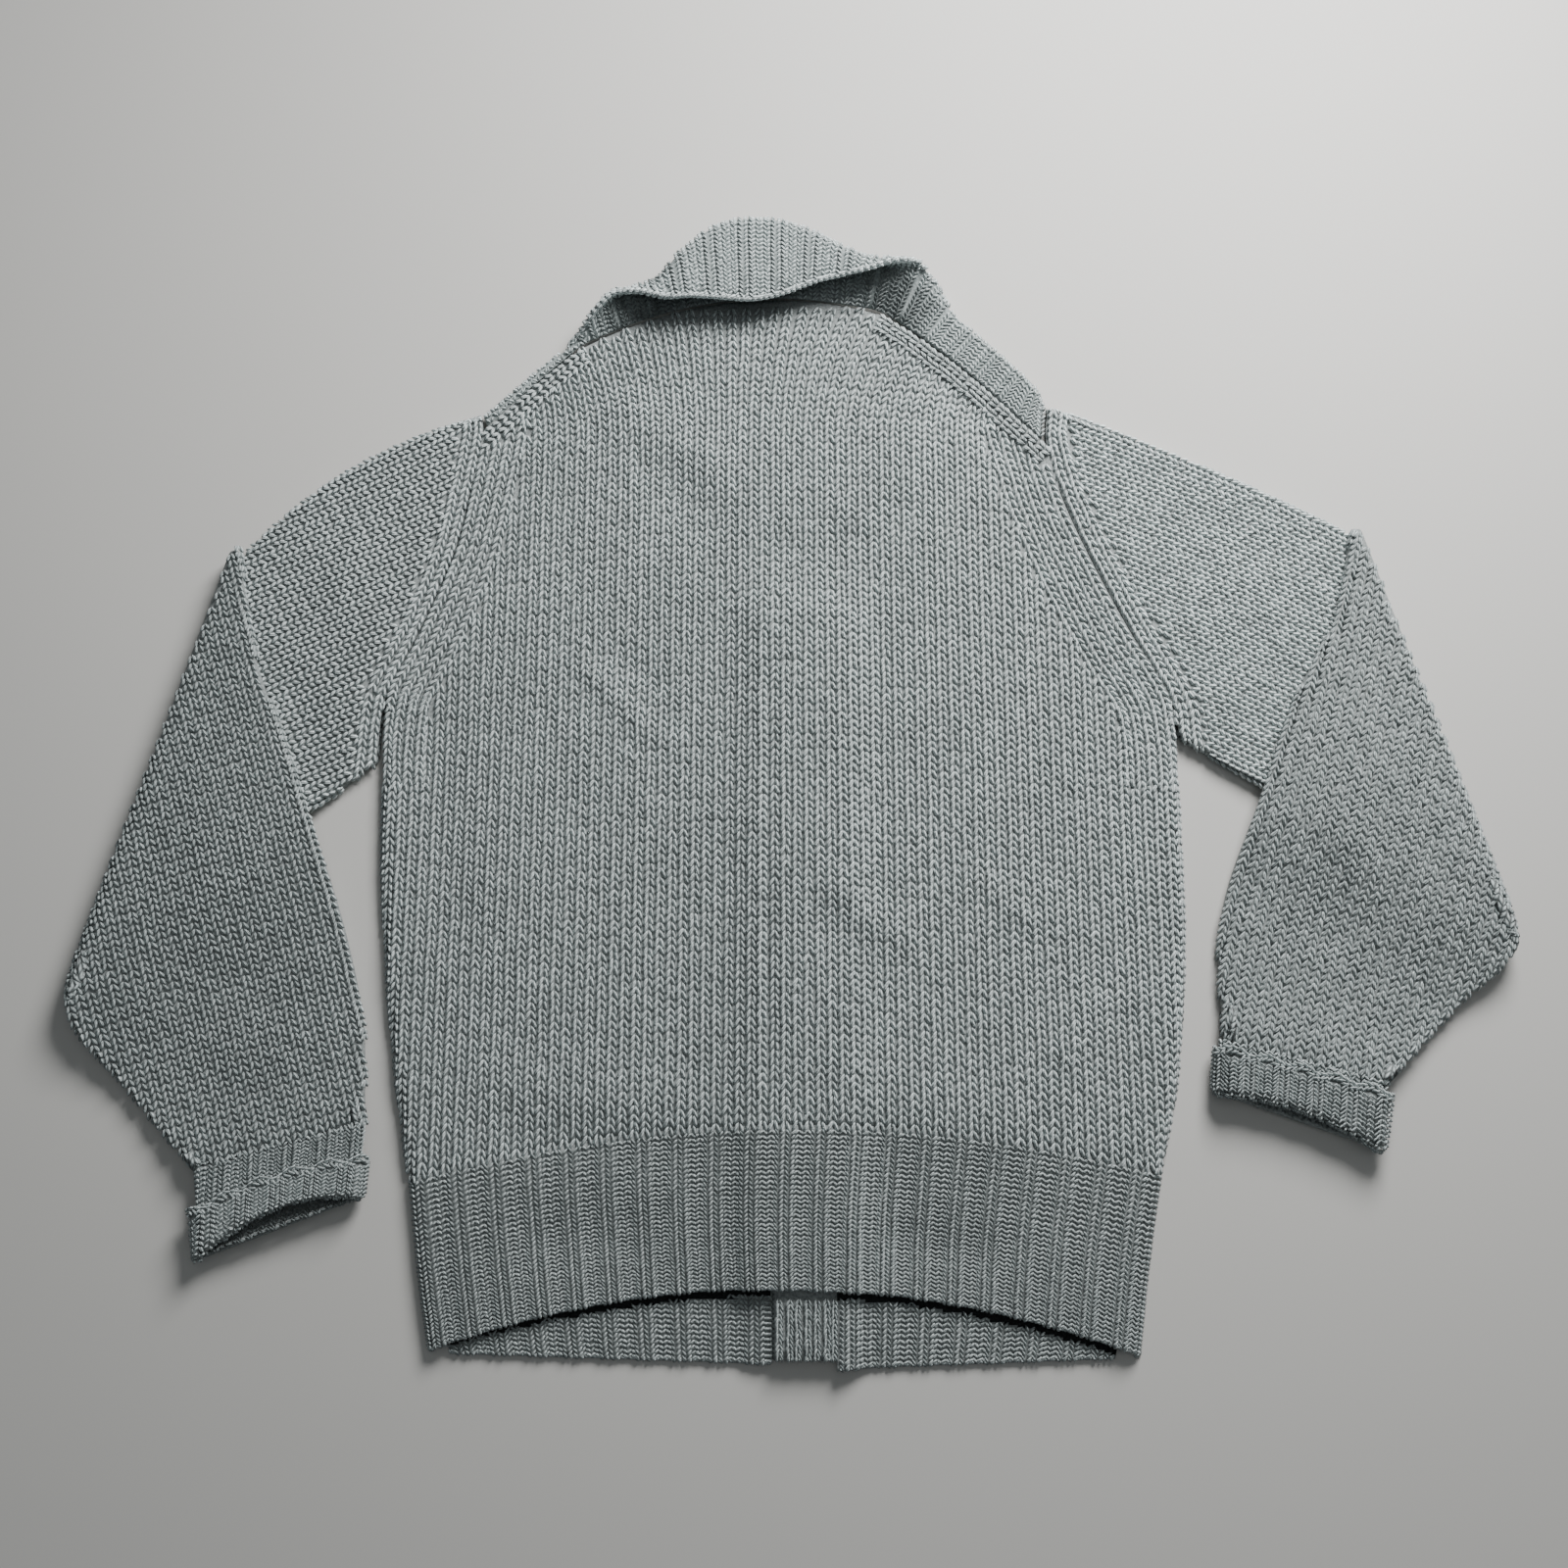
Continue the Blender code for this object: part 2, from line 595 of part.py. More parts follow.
def button(name, y, collection, material):
    """A plain button with four holes, on the outer face of the closed bands."""
    bm = bmesh.new()
    bmesh.ops.create_cone(
        bm,
        cap_ends=True,
        segments=24,
        radius1=BUTTON_DIAMETER / 2 * MM,
        radius2=BUTTON_DIAMETER / 2 * MM,
        depth=BUTTON_THICK * MM,
    )
    mesh = bpy.data.meshes.new(name)
    bm.to_mesh(mesh)
    bm.free()
    mesh.materials.append(material)
    obj = bpy.data.objects.new(name, mesh)
    obj.location = ((BAND_MIDDLE - ORIGIN[0]) * MM, (y - ORIGIN[1]) * MM, BUTTON_THICK / 2 * MM)
    collection.objects.link(obj)
    return obj


def hole_cutter(name, y, collection):
    """Four thread holes for one button."""
    bm = bmesh.new()
    for side_x in (-1, 1):
        for side_y in (-1, 1):
            made = bmesh.ops.create_cone(
                bm,
                cap_ends=True,
                segments=8,
                radius1=BUTTON_HOLE / 2 * MM,
                radius2=BUTTON_HOLE / 2 * MM,
                depth=3 * BUTTON_THICK * MM,
            )
            shift = Vector((side_x * BUTTON_HOLE_SPREAD * MM, side_y * BUTTON_HOLE_SPREAD * MM, 0))
            bmesh.ops.translate(bm, verts=made["verts"], vec=shift)
    mesh = bpy.data.meshes.new(name)
    bm.to_mesh(mesh)
    bm.free()
    obj = bpy.data.objects.new(name, mesh)
    obj.location = ((BAND_MIDDLE - ORIGIN[0]) * MM, (y - ORIGIN[1]) * MM, BUTTON_THICK / 2 * MM)
    obj.hide_render = True
    obj.display_type = "WIRE"
    collection.objects.link(obj)
    return obj


def buttons(collection, cutters, material):
    low, high = BAND_BOTTOM + 30, BAND_TOP - 38
    for i in range(BUTTON_COUNT):
        y = blend(low, high, i / (BUTTON_COUNT - 1))
        piece = button(f"button_{i + 1}", y, collection, material)
        holes = piece.modifiers.new("Thread holes", "BOOLEAN")
        holes.operation = "DIFFERENCE"
        holes.object = hole_cutter(f"button_holes_{i + 1}", y, cutters)


def main():
    clear_scene()
    cardigan = bpy.data.collections.new("Shawl collar cardigan")
    cutters = bpy.data.collections.new("Cutters")
    bpy.context.scene.collection.children.link(cardigan)
    bpy.context.scene.collection.children.link(cutters)
    wool = make_material("Grey wool knit", **WOOL)
    rib = make_material("Grey wool rib", **WOOL)
    horn = make_material("Plain button", **HORN)

    upper_panel("back", BODY_ROWS, 2, cardigan, wool, SEAM / 2, SEAM / 2)
    upper_panel("back_hem", BACK_HEM_ROWS, 2, cardigan, rib, 0.0, SEAM / 2)
    collar(cardigan, rib)
    for name, side, shape in (("left", -1, LEFT_SLEEVE), ("right", 1, RIGHT_SLEEVE)):
        front("front_" + name, side, cardigan, wool)
        front_hem("front_hem_" + name, side, cardigan, rib)
        collar_front("collar_front_" + name, side, cardigan, rib)
        sleeve("sleeve_" + name, shape, side, cardigan, wool)
        cuff("cuff_" + name, shape, cardigan, rib)
    band("buttonhole_band", BAND_LEFT, BAND_LEFT + BAND_WIDTH - BAND_SHY, -1, cardigan, rib)
    band("button_band", BAND_RIGHT - BAND_WIDTH, BAND_RIGHT, 1, cardigan, rib)
    buttons(cardigan, cutters, horn)


main()
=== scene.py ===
"""Shawl collar cardigan in heavy grey marl wool, laid face down: its finished look.

Each knitted piece is a thin ground sheet with its stitches laid on it one by one. A stitch is two
legs of plied yarn that lean together towards the neck. Sizes are in millimetres on the cardigan's
own plan, whose middle of the chest is at (0, 0), until a mesh is written in metres.
"""

import functools
import json
import math
import random

import bmesh
import bpy
import numpy as np
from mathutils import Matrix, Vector

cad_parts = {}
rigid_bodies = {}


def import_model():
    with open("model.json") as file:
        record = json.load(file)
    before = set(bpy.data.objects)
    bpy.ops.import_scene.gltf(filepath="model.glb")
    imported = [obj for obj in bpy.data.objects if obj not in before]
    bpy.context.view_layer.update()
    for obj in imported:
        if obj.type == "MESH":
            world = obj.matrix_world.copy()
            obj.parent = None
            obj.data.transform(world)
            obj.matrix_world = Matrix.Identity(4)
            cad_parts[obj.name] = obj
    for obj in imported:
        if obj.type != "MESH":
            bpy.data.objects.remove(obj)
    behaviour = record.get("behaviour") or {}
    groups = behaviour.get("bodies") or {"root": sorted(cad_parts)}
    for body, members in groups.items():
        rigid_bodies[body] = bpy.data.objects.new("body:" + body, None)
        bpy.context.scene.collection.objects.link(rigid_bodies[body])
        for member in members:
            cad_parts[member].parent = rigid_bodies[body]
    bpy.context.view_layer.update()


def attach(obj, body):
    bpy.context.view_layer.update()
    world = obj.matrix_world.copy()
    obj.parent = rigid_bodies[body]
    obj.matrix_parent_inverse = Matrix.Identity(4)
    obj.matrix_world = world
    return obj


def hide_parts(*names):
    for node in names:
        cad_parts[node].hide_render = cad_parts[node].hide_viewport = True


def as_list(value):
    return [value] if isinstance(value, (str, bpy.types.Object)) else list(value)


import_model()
chance = random.Random(11)

# ---- Sizes, the same as the solids' ----
MM = 0.001
SIDES = ((-1, "left"), (1, "right"))
ORIGIN = Vector((-0.02, -6.39, 0.0))  # the plan's point under the middle of the whole garment
CLOTH = 3.8  # thickness of the knitting
LAYER_GAP = 1.4
SEAM = 0.3
ANGLED_SEAM = 0.8
TUBE = 2 * CLOTH + LAYER_GAP  # height of a sleeve lying flat
BACK_UNDER = CLOTH + LAYER_GAP
EDGE = TUBE  # radius of the back's rounded sides
SIDE_FLOOR = 1.0
SIDE_TOP = 36.0  # where the back's sides end and its raglans begin
SIDE_ROLL_LOW = -45.0  # the sides round down in full below here
NECK_LOW = 216.0  # where the raglans end and the neck seam begins
MIDDLE_LEFT, MIDDLE_RIGHT = -195.0, 180.0  # the sides' rounding ends short of these
BUTTON_THICK = 2.6
BAND_WIDTH = 38.0
BAND_SHY = 3.0
BAND_GAP = 0.4
BAND_UNDER = BUTTON_THICK + BAND_GAP
BAND_OVER = BAND_UNDER + CLOTH + BAND_GAP
BAND_RAMP = 26.0
BAND_TOP = 58
BAND_BOTTOM = -369
BAND_LEFT, BAND_RIGHT = -14.0, 26.0
BAND_MIDDLE = (BAND_LEFT + BAND_RIGHT) / 2
CUFF_FOLD = CLOTH + 0.5
CUFF_WRAP = 5.0  # how far the turned-back stitches reach round each end of the cuff
CUFF_SHEET = 1.4  # thickness of the sheet under the cuff's stitches
COLLAR_SHEET = 1.4  # and of the sheet between the collar's two layers of stitches
CUFF_AIR = 0.05
CAST_OFF_ARCH = 3.0
DROP_REACH = 72.0  # the folded-over sleeve comes down to the floor over this width
FRONT_DIP = 13
FRONT_DIP_IN = 2.5
FRONT_TOP = 0.88  # how far up the body's table the fronts and the lapels go
FOLD_SEGMENTS = 16
EDGE_REACH = 300.0  # how far an edge is taken to run straight on past its ends
LAST_TURN = 1.5  # how far stitches go round a rounded edge, in radians
LAST_ROLL = 2.4  # and under a hem's edge

# The knitting.
WALE = 7.2  # width of a column of stitches
ROW = 4.85
SLEEVE_WALE = 7.0
SLEEVE_ROW = 4.5
RIB_WALE = 6.4
RIB_ROW = 2.85
PURL = 8.95  # width of the sunk stretch between two pairs of rib columns
CUFF_WALE = 6.3
CUFF_PURL = 8.9
CUFF_REPEAT = 2 * CUFF_WALE + CUFF_PURL
COLLAR_WALE = 6.1
COLLAR_PURL = 9.1
RELIEF = 1.9  # how far the stitches stand above the ground sheet
SIDE_TUCK = 0.45 * EDGE  # how far past the panel's outline the stitches go round the back's sides
TUCK = 2.2  # how far a hem's first row lies below the hem's edge, on its way round under it
HEM_WIDTH, HEM_LENGTH = 459.0, 103.0
FRONT_HEM_LENGTH, FRONT_HEM_SEEN = 96.0, 58.0
STRIP_LEFT, STRIP_RIGHT = 4, 5  # columns that run along each raglan line
STRIP_LOW = -20.0  # where those columns part from the straight ones
STRIP_HIGH = 225.0  # where they reach the neck
FAN_LOW, FAN_HALF, FAN_RISE = 215.0, 95.0, 130.0  # the columns lean apart above here, near the neck
SLOPE_WALE = WALE * 0.86  # the columns along the neck seam are drawn narrower

# How far a stitch's two legs lean from their column, in degrees. Rib stitches open upwards.
LEAN = 21
SLEEVE_LEAN = 25
RIGHT_SLEEVE_LEAN = 20
RIB_LEAN = -40
# A leg's length and width as shares of its stitch, and how uneven the stitches are.
PLAIN_LEG = dict(long=0.36, wide=1.5, uneven=1.8)
RIB_LEG = dict(long=0.42, wide=0.8, uneven=1.0)
LEG_HIGH = 2.7
# A sunk row of purl: its legs' slope in degrees, their size, and how much wider than the gap it is.
BAR_SLOPE = 42
BAR_LEG = dict(long=0.38, wide=0.52, high=2.3)
BAR_TUCK = 1.4

# How much darker painted shade makes the wool where it lies in shade. Below zero it is painted light,
# which makes it paler.
BACK_PAINTED_LIGHT = -0.25
UPPER_SLEEVE_PAINTED_LIGHT = -0.6
LOWER_SLEEVE_PAINTED_SHADE = 0.4
MOUTH_PAINTED_SHADE = 2.2
OPENING_PAINTED_SHADE = 2.8
SHADE_BELOW = 4.5  # the stretch in deep shade under the back hem's edge


def table(columns, *rows):
    """A table: the names of its columns, then a row for each section or fold."""
    return [dict(zip(columns.split(), row)) for row in rows]


BODY_ROWS = table(
    "at left right arch roll inset",
    (0.00, (-238, -263), (227, -258), 30, 1.0, 6.8),
    (0.12, (-249, -200), (239, -205), 29, 1.0, 6.8),
    (0.28, (-259, -120), (247, -125), 25, 1.0, 6.8),
    (0.42, (-264, -45), (248, -50), 20, 1.0, 6.8),
    (0.55, (-263, 38), (245, 34), 12, 0.0, 6.8),
    (0.63, (-245, 78), (218, 86), 10, 0.0, 0.3),
    (0.72, (-222, 138), (193, 138), 14, 0.0, 0.3),
    (0.80, (-213, 180), (177, 178), 24, 0.0, 0.3),
    (0.88, (-206, 222), (168, 213), 38, 0.0, 0.3),
    (0.94, (-175, 252), (113, 266), 34, 0.0, 0.3),
    (1.00, (-143, 280), (62, 304), 22, 0.0, 0.3),
)
BACK_HEM_ROWS = table(
    "at left right arch roll",
    (0.0, (-222, -364), (209, -367), 38, 1.0),
    (0.5, (-230, -320), (216, -318), 36, 1.0),
    (1.0, (-238, -263), (227, -258), 30, 1.0),
)
FRONT_EDGES = table(
    "at left right",
    (0.00, (-14, -268), (26, -268)),
    (0.28, (-14, -120), (26, -120)),
    (0.42, (-14, -40), (26, -40)),
    (0.55, (-14, 58), (26, 58)),
    (0.63, (-64, 104), (62, 106)),
    (0.72, (-124, 158), (104, 156)),
    (0.80, (-160, 190), (128, 183)),
    (0.88, (-190, 217), (150, 206)),
)
FRONT_HEM_OUTER = table(
    "at left right",
    (0.0, (-208, -366), (194, -369)),
    (1.0, (-228.5, -276), (217, -276)),
)
FRONT_HEM_INNER = table(
    "at left right",
    (0.0, (-14, -372), (26, -375)),
    (1.0, (-14, -268), (26, -268)),
)
LAPEL_ROWS = table(
    "at left right",
    (0.55, (4, 66), (7, 66)),
    (0.63, (-18, 136), (26, 134)),
    (0.72, (-70, 196), (52, 186)),
    (0.80, (-102, 228), (70, 218)),
    (0.88, (-133, 256), (90, 246)),
)
SLEEVE_NECK = dict(left=(-207.5, 233), right=(169.5, 240))
SLEEVE_UNDERARM = dict(left=(-267, -4), right=(248, 12))
LEFT_SLEEVE = dict(
    crease=((-370, 140), (-454, -142)),
    shoulder_bulge=14,
    lower=table(
        "at over away",
        (0.0, (-369, 137), (-454, -142)),
        (0.2, (-345, 61), (-452, -160)),
        (0.4, (-317, -10), (-441, -180)),
        (0.6, (-291, -83), (-421, -202)),
        (0.8, (-270, -158), (-397, -228)),
        (1.0, (-263, -230), (-369, -256)),
    ),
    cuff=((-266, -274), (-361, -310)),
    turn_back=22,
    first_purl=(17.5, 8.0),
    bow=13.0,
    seam_gap=0.0,
    upper_way=(0.89, 0.46),
    lower_way=(-0.31, 0.95),
)
RIGHT_SLEEVE = dict(
    crease=((374, 155), (454, -104)),
    shoulder_bulge=4,
    lower=table(
        "at over away",
        (0.0, (373, 150), (454, -104)),
        (0.2, (350, 90), (452, -120)),
        (0.4, (322, 38), (440, -137)),
        (0.6, (294, -31), (421, -153)),
        (0.8, (269, -106), (397, -177)),
        (1.0, (266, -180), (366, -206)),
    ),
    cuff=((263, -211), (358, -244)),
    turn_back=27,
    first_purl=(9.0, 14.6),
    bow=7.0,
    seam_gap=1.2,
    upper_way=(-0.9, 0.43),
    lower_way=(0.31, 0.95),
)
COLLAR_STATIONS = table(
    "at heading stand rise turn radius fall",
    (0.008, 112, 4, 0, -180, 0.0, 4),
    (0.05, 130, 3, 0, -180, 0.0, 6),
    (0.12, 133, 3, 0, -180, 0.0, 6),
    (0.165, 131, 2, 4, -170, 0.0, 4),
    (0.195, 127, 2, 30, -40, 3.0, 2),
    (0.215, 121, 6, 40, 10, 4.5, 3),
    (0.24, 114, 13, 38, 50, 4.5, 3),
    (0.27, 110, 19, 34, 80, 4.5, 3),
    (0.30, 107, 17, 32, 110, 5.0, 3),
    (0.34, 104, 17, 27, 146, 6.0, 11),
    (0.38, 98, 30, 18, 164, 6.5, 28),
    (0.43, 93, 42, 12, 172, 6.5, 45),
    (0.475, 91, 44, 11, 173, 6.5, 50),
    (0.52, 90, 42, 11, 173, 6.5, 44),
    (0.57, 87, 35, 13, 171, 6.5, 27),
    (0.61, 84, 28, 18, 164, 6.5, 13),
    (0.65, 78, 26, 26, 132, 6.0, 5),
    (0.68, 70, 30, 27, 80, 6.0, 3),
    (0.705, 64, 34, 20, 20, 6.0, 3),
    (0.73, 58, 28, 9, -50, 6.0, 3),
    (0.76, 53, 23, 2, -140, 4.0, 4),
    (0.79, 50, 22, 0, -180, 0.0, 5),
    (0.88, 52, 21, 0, -180, 0.0, 6),
    (0.95, 66, 21, 0, -180, 0.0, 6),
    (0.992, 88, 20, 0, -180, 0.0, 5),
)
SWELLS = table(
    "x y wide long high",
    (-20, 190, 90, 60, 1.4),
    (110, -10, 70, 90, 1.6),
    (-150, -60, 60, 110, 1.2),
    (60, -190, 120, 45, 1.4),
    (-300, 60, 60, 50, 1.5),
    (290, 60, 55, 50, 1.5),
    (-350, -190, 50, 60, 1.4),
    (350, -140, 50, 60, 1.4),
)
# Soft creases of the upper layer, from one end to the other: how wide and how high each is.
# A trough has a negative height.
CREASES = table(
    "start end wide high",
    ((-17, 80), (-16, -232), 3.6, -2.0),
    ((-126, 244), (-38, 184), 18, 3.2),
    ((-100, 208), (-48, 146), 21, -2.0),
    ((92, 222), (30, 150), 17, 3.0),
    ((70, 184), (18, 92), 19, -2.0),
    ((-30, 112), (-6, 60), 20, 1.6),
    ((-198, 204), (-96, 266), 11, -2.2),
    ((78, 282), (162, 186), 11, -2.2),
    ((-142, 66), (-94, 18), 7, 2.0),
    ((-124, 76), (-80, 40), 9, -1.4),
    ((-106, 20), (-66, 6), 8, 1.2),
    ((20, -76), (74, -124), 10, 1.8),
    ((8, -96), (52, -138), 12, -1.4),
    ((110, -70), (154, -110), 9, 1.8),
    ((150, -56), (184, -92), 11, -1.2),
    ((192, -146), (158, -196), 11, 2.2),
    ((214, -158), (190, -214), 12, -1.8),
    ((-234, 44), (-212, -130), 20, -2.2),
    ((-206, -60), (-150, -170), 26, 1.6),
    ((-204, -200), (-52, -218), 20, 2.0),
    ((-190, -238), (-60, -242), 15, -1.8),
    ((20, -206), (150, -232), 22, 1.8),
    ((-170, -300), (-78, -294), 18, -2.2),
    ((54, -300), (128, -306), 16, -2.2),
    ((-86, -30), (60, -60), 34, 1.4),
    ((70, 60), (150, 10), 30, 1.6),
    ((-300, 150), (-262, 60), 22, 1.8),
    ((-330, 60), (-300, -10), 16, -1.8),
    ((-400, -20), (-330, -90), 24, 1.8),
    ((-420, -120), (-320, -150), 22, -1.6),
    ((-360, -190), (-280, -180), 18, 1.6),
    ((300, 140), (262, 70), 22, 1.6),
    ((330, 60), (300, 10), 16, -1.8),
    ((400, 0), (330, -60), 24, 1.8),
    ((424, -80), (330, -110), 22, -1.6),
)


# ---- The shape of the cloth ----
def ease(t):
    """From 0 to 1, gently at both ends."""
    t = min(max(t, 0.0), 1.0)
    return t * t * (3.0 - 2.0 * t)


def blend(a, b, t):
    return a + (b - a) * t


def hermite(a, b, slope_a, slope_b, t):
    """The smooth way from a to b with these slopes."""
    near = 2 * t**3 - 3 * t**2 + 1
    return a * near + slope_a * (t**3 - 2 * t**2 + t) + b * (1 - near) + slope_b * (t**3 - t**2)


def along(rows, at, column, smooth=False):
    """The column's value at this place along the table. Points always lie on a smooth line."""
    first = 0
    while first < len(rows) - 2 and at > rows[first + 1]["at"]:
        first += 1
    low, high = rows[first], rows[first + 1]
    before, after = rows[max(first - 1, 0)], rows[min(first + 2, len(rows) - 1)]
    step = high["at"] - low["at"]
    t = (at - low["at"]) / step
    start, a, b, end = (row[column] for row in (before, low, high, after))
    if isinstance(a, tuple):
        start, a, b, end = (Vector(value) for value in (start, a, b, end))
    elif not smooth:
        return blend(a, b, t)
    slope_a = (b - start) * (step / (high["at"] - before["at"]))
    slope_b = (end - a) * (step / (after["at"] - low["at"]))
    return hermite(a, b, slope_a, slope_b, t)


def curve(points, fine=6):
    """A smooth line through these points, as a denser line of points."""
    points = [Vector(p) for p in points]
    ends = [points[0] * 2 - points[1]] + points + [points[-1] * 2 - points[-2]]
    line = []
    for before, a, b, after in zip(ends, ends[1:], ends[2:], ends[3:]):
        length = (b - a).length
        slope_a = (b - before) * (length / (length + (a - before).length))
        slope_b = (after - a) * (length / (length + (after - b).length))
        line += [hermite(a, b, slope_a, slope_b, i / fine) for i in range(fine)]
    return line + [points[-1]]


def on_line(points, t):
    """The point at this place along a line, in equal shares for each of its segments."""
    place = t * (len(points) - 1)
    first = min(int(place), len(points) - 2)
    return Vector(points[first]).lerp(Vector(points[first + 1]), place - first)


def line_length(points):
    return sum((b - a).length for a, b in zip(points, points[1:]))


def by_length(points, reach):
    """The point this many millimetres along a line, which runs straight on past its ends."""
    for a, b in zip(points, points[1:]):
        step = (b - a).length
        if reach <= step or b is points[-1]:
            break
        reach -= step
    return a + (b - a) * (reach / step)


def upper_point(rows, at, share):
    """A point of the back or its hem, this share of the way from its left side to its right."""
    point = along(rows, at, "left").lerp(along(rows, at, "right"), share)
    point.y += along(rows, at, "arch") * 4 * share * (1 - share)
    return point


def neck_line():
    """The neck seam along the back's upper edge, from one raglan to the other."""
    slope = [row for row in BODY_ROWS if 0.88 <= row["at"] < 1.0]
    top = [upper_point(BODY_ROWS, 1.0, i / 8) for i in range(9)]
    left_slope = [Vector(row["left"]) for row in slope]
    right_slope = [Vector(row["right"]) for row in reversed(slope)]
    return left_slope + top + right_slope


def raglan_line(column):
    return curve([row[column] for row in BODY_ROWS if 0.55 <= row["at"] <= 0.88])


def sleeve_seam(side):
    """The sleeve's edge along the raglan, from the neck down to the underarm."""
    column = "left" if side < 0 else "right"
    line = [row[column] for row in reversed(BODY_ROWS) if 0.55 <= row["at"] <= 0.88]
    return curve([SLEEVE_NECK[column]] + line + [SLEEVE_UNDERARM[column]])


def swell(x, y):
    """Height of the broad swells here."""
    total = 0.0
    for spot in SWELLS:
        across = (x - spot["x"]) / spot["wide"]
        down = (y - spot["y"]) / spot["long"]
        total += spot["high"] * math.exp(-across * across - down * down)
    return min(total, 2.0)


def crease(x, y):
    """Height of the soft creases here."""
    total = 0.0
    for fold in CREASES:
        ax, ay = fold["start"]
        bx, by = fold["end"]
        run_x, run_y = bx - ax, by - ay
        length = math.hypot(run_x, run_y)
        t = ((x - ax) * run_x + (y - ay) * run_y) / length**2
        near = min(max(t, 0.0), 1.0)
        gap = math.hypot(x - ax - run_x * near, y - ay - run_y * near)
        if gap < 3 * fold["wide"]:
            ends = ease(min(near, 1 - near) * 4 + 0.25)
            total += fold["high"] * ends * math.exp(-((gap / fold["wide"]) ** 2))
    return total


def band_under(y, side):
    """How far the buttons and the other band lift a band here."""
    over_buttons = BAND_UNDER * ease((BAND_TOP - y) / 24.0)
    if side < 0:
        return over_buttons
    return over_buttons + (CLOTH + BAND_GAP) * ease((BAND_TOP + 50.0 - y) / 50.0)


def band_lift(x, y):
    """How far the bands lift the back here."""
    plateau, slope = BAND_WIDTH / 2 + 4.0, 32.0
    beside = ease((plateau + slope - abs(x - BAND_MIDDLE)) / slope)
    full = BAND_OVER + CLOTH + 2 * BAND_GAP - BACK_UNDER
    return full * beside * ease((BAND_TOP + 90.0 - y) / 60.0)


def back_height(spot):
    """Height of the back's upper face."""
    base = BACK_UNDER + CLOTH + max(swell(spot.x, spot.y), band_lift(spot.x, spot.y))
    return base + crease(spot.x, spot.y)


def front_under(x, y, side):
    """How far a front is lifted here, where it rises to its band."""
    from_edge = BAND_LEFT - x if side < 0 else x - BAND_RIGHT
    return band_under(y, side) * ease((BAND_RAMP - from_edge) / BAND_RAMP)


class Edge:
    """One edge of a stretch of cloth in plan, which rounds down there with this radius."""

    def __init__(self, points, radius, inside):
        line = np.array([(p[0], p[1]) for p in points], float)
        self.start, self.run = line[:-1], np.diff(line, axis=0)
        self.square = (self.run**2).sum(axis=1)
        self.low, self.high = np.zeros(len(self.run)), np.ones(len(self.run))
        self.low[0] -= EDGE_REACH / math.sqrt(self.square[0])
        self.high[-1] += EDGE_REACH / math.sqrt(self.square[-1])
        self.radius = radius
        self.side = 1.0
        if self.gap(Vector(inside))[0] < 0:
            self.side = -1.0

    def gap(self, spot):
        """How far inside the edge a point lies, and the way inwards."""
        offset = np.array((spot[0], spot[1])) - self.start
        t = np.clip((offset * self.run).sum(axis=1) / self.square, self.low, self.high)
        away = offset - self.run * t[:, None]
        best = int(np.argmin((away**2).sum(axis=1)))
        run = self.run[best]
        inward = Vector((-run[1], run[0])).normalized() * self.side
        return Vector(away[best]).dot(inward), inward


def outside(spot, outline):
    """How far a point lies outside a closed outline, 0 within it."""
    corners = np.array([(p[0], p[1]) for p in outline])
    run = np.roll(corners, -1, axis=0) - corners
    offset = np.array((spot[0], spot[1])) - corners
    crosses = (offset[:, 1] < 0) != (offset[:, 1] < run[:, 1])
    reach = offset[:, 1] / np.where(run[:, 1] == 0, 1e-9, run[:, 1]) * run[:, 0]
    if (crosses & (offset[:, 0] < reach)).sum() % 2:
        return 0.0
    t = np.clip((offset * run).sum(axis=1) / np.maximum((run**2).sum(axis=1), 1e-9), 0, 1)
    return float(np.sqrt(((offset - run * t[:, None]) ** 2).sum(axis=1).min()))


def lay(spot, edges, height):
    """The place on the cloth of a point of the spread-out plan, round its rounded edges too."""
    spot = Vector(spot)
    down = 0.0
    for edge in edges:
        gap, inward = edge.gap(spot)
        if gap < edge.radius:
            turn = min((edge.radius - gap) / edge.radius, LAST_TURN)
            spot = spot + inward * (edge.radius * (1 - math.sin(turn)) - gap)
            down += edge.radius * (1 - math.cos(turn))
    return Vector((spot.x, spot.y, height(spot) - down))


def out_of(point):
    """A plan point in millimetres as a place in metres."""
    return (point - ORIGIN) * MM


# ---- Meshes ----
def piece(name, mesh, materials):
    """A smooth piece of the cardigan with this mesh."""
    for material in materials:
        mesh.materials.append(material)
    mesh.shade_smooth()
    obj = bpy.data.objects.new(name, mesh)
    bpy.context.scene.collection.objects.link(obj)
    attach(obj, "root")
    return obj


def sheet_piece(name, bm, materials):
    """A sheet, from a mesh on the plan in millimetres."""
    for vert in bm.verts:
        vert.co = out_of(vert.co)
    mesh = bpy.data.meshes.new(name)
    bm.to_mesh(mesh)
    bm.free()
    return piece(name + "_sheet", mesh, materials)


def thicken(obj, thickness, offset=-1.0, other_face=0):
    """Gives a sheet its thickness, inwards from its outer face unless the offset says otherwise."""
    wall = obj.modifiers.new("Cloth", "SOLIDIFY")
    wall.thickness = thickness * MM
    wall.offset = offset
    wall.use_even_offset = False
    wall.material_offset = other_face
    return obj


def spread(name, across, upward, point, materials, sink=0.0):
    """A sheet with a vertex at point(u, v) for each u and v, sunk by this much into itself."""
    bm = bmesh.new()
    columns, rows = len(across) - 1, len(upward) - 1
    bmesh.ops.create_grid(bm, x_segments=columns, y_segments=rows, size=0.5)
    for vert in bm.verts:
        u = across[round((vert.co.x + 0.5) * columns)]
        v = upward[round((vert.co.y + 0.5) * rows)]
        vert.co = point(u, v)
    bm.normal_update()
    if sink:
        for vert, out in [(v, v.normal.copy()) for v in bm.verts]:
            vert.co -= out * sink
    return sheet_piece(name, bm, materials)


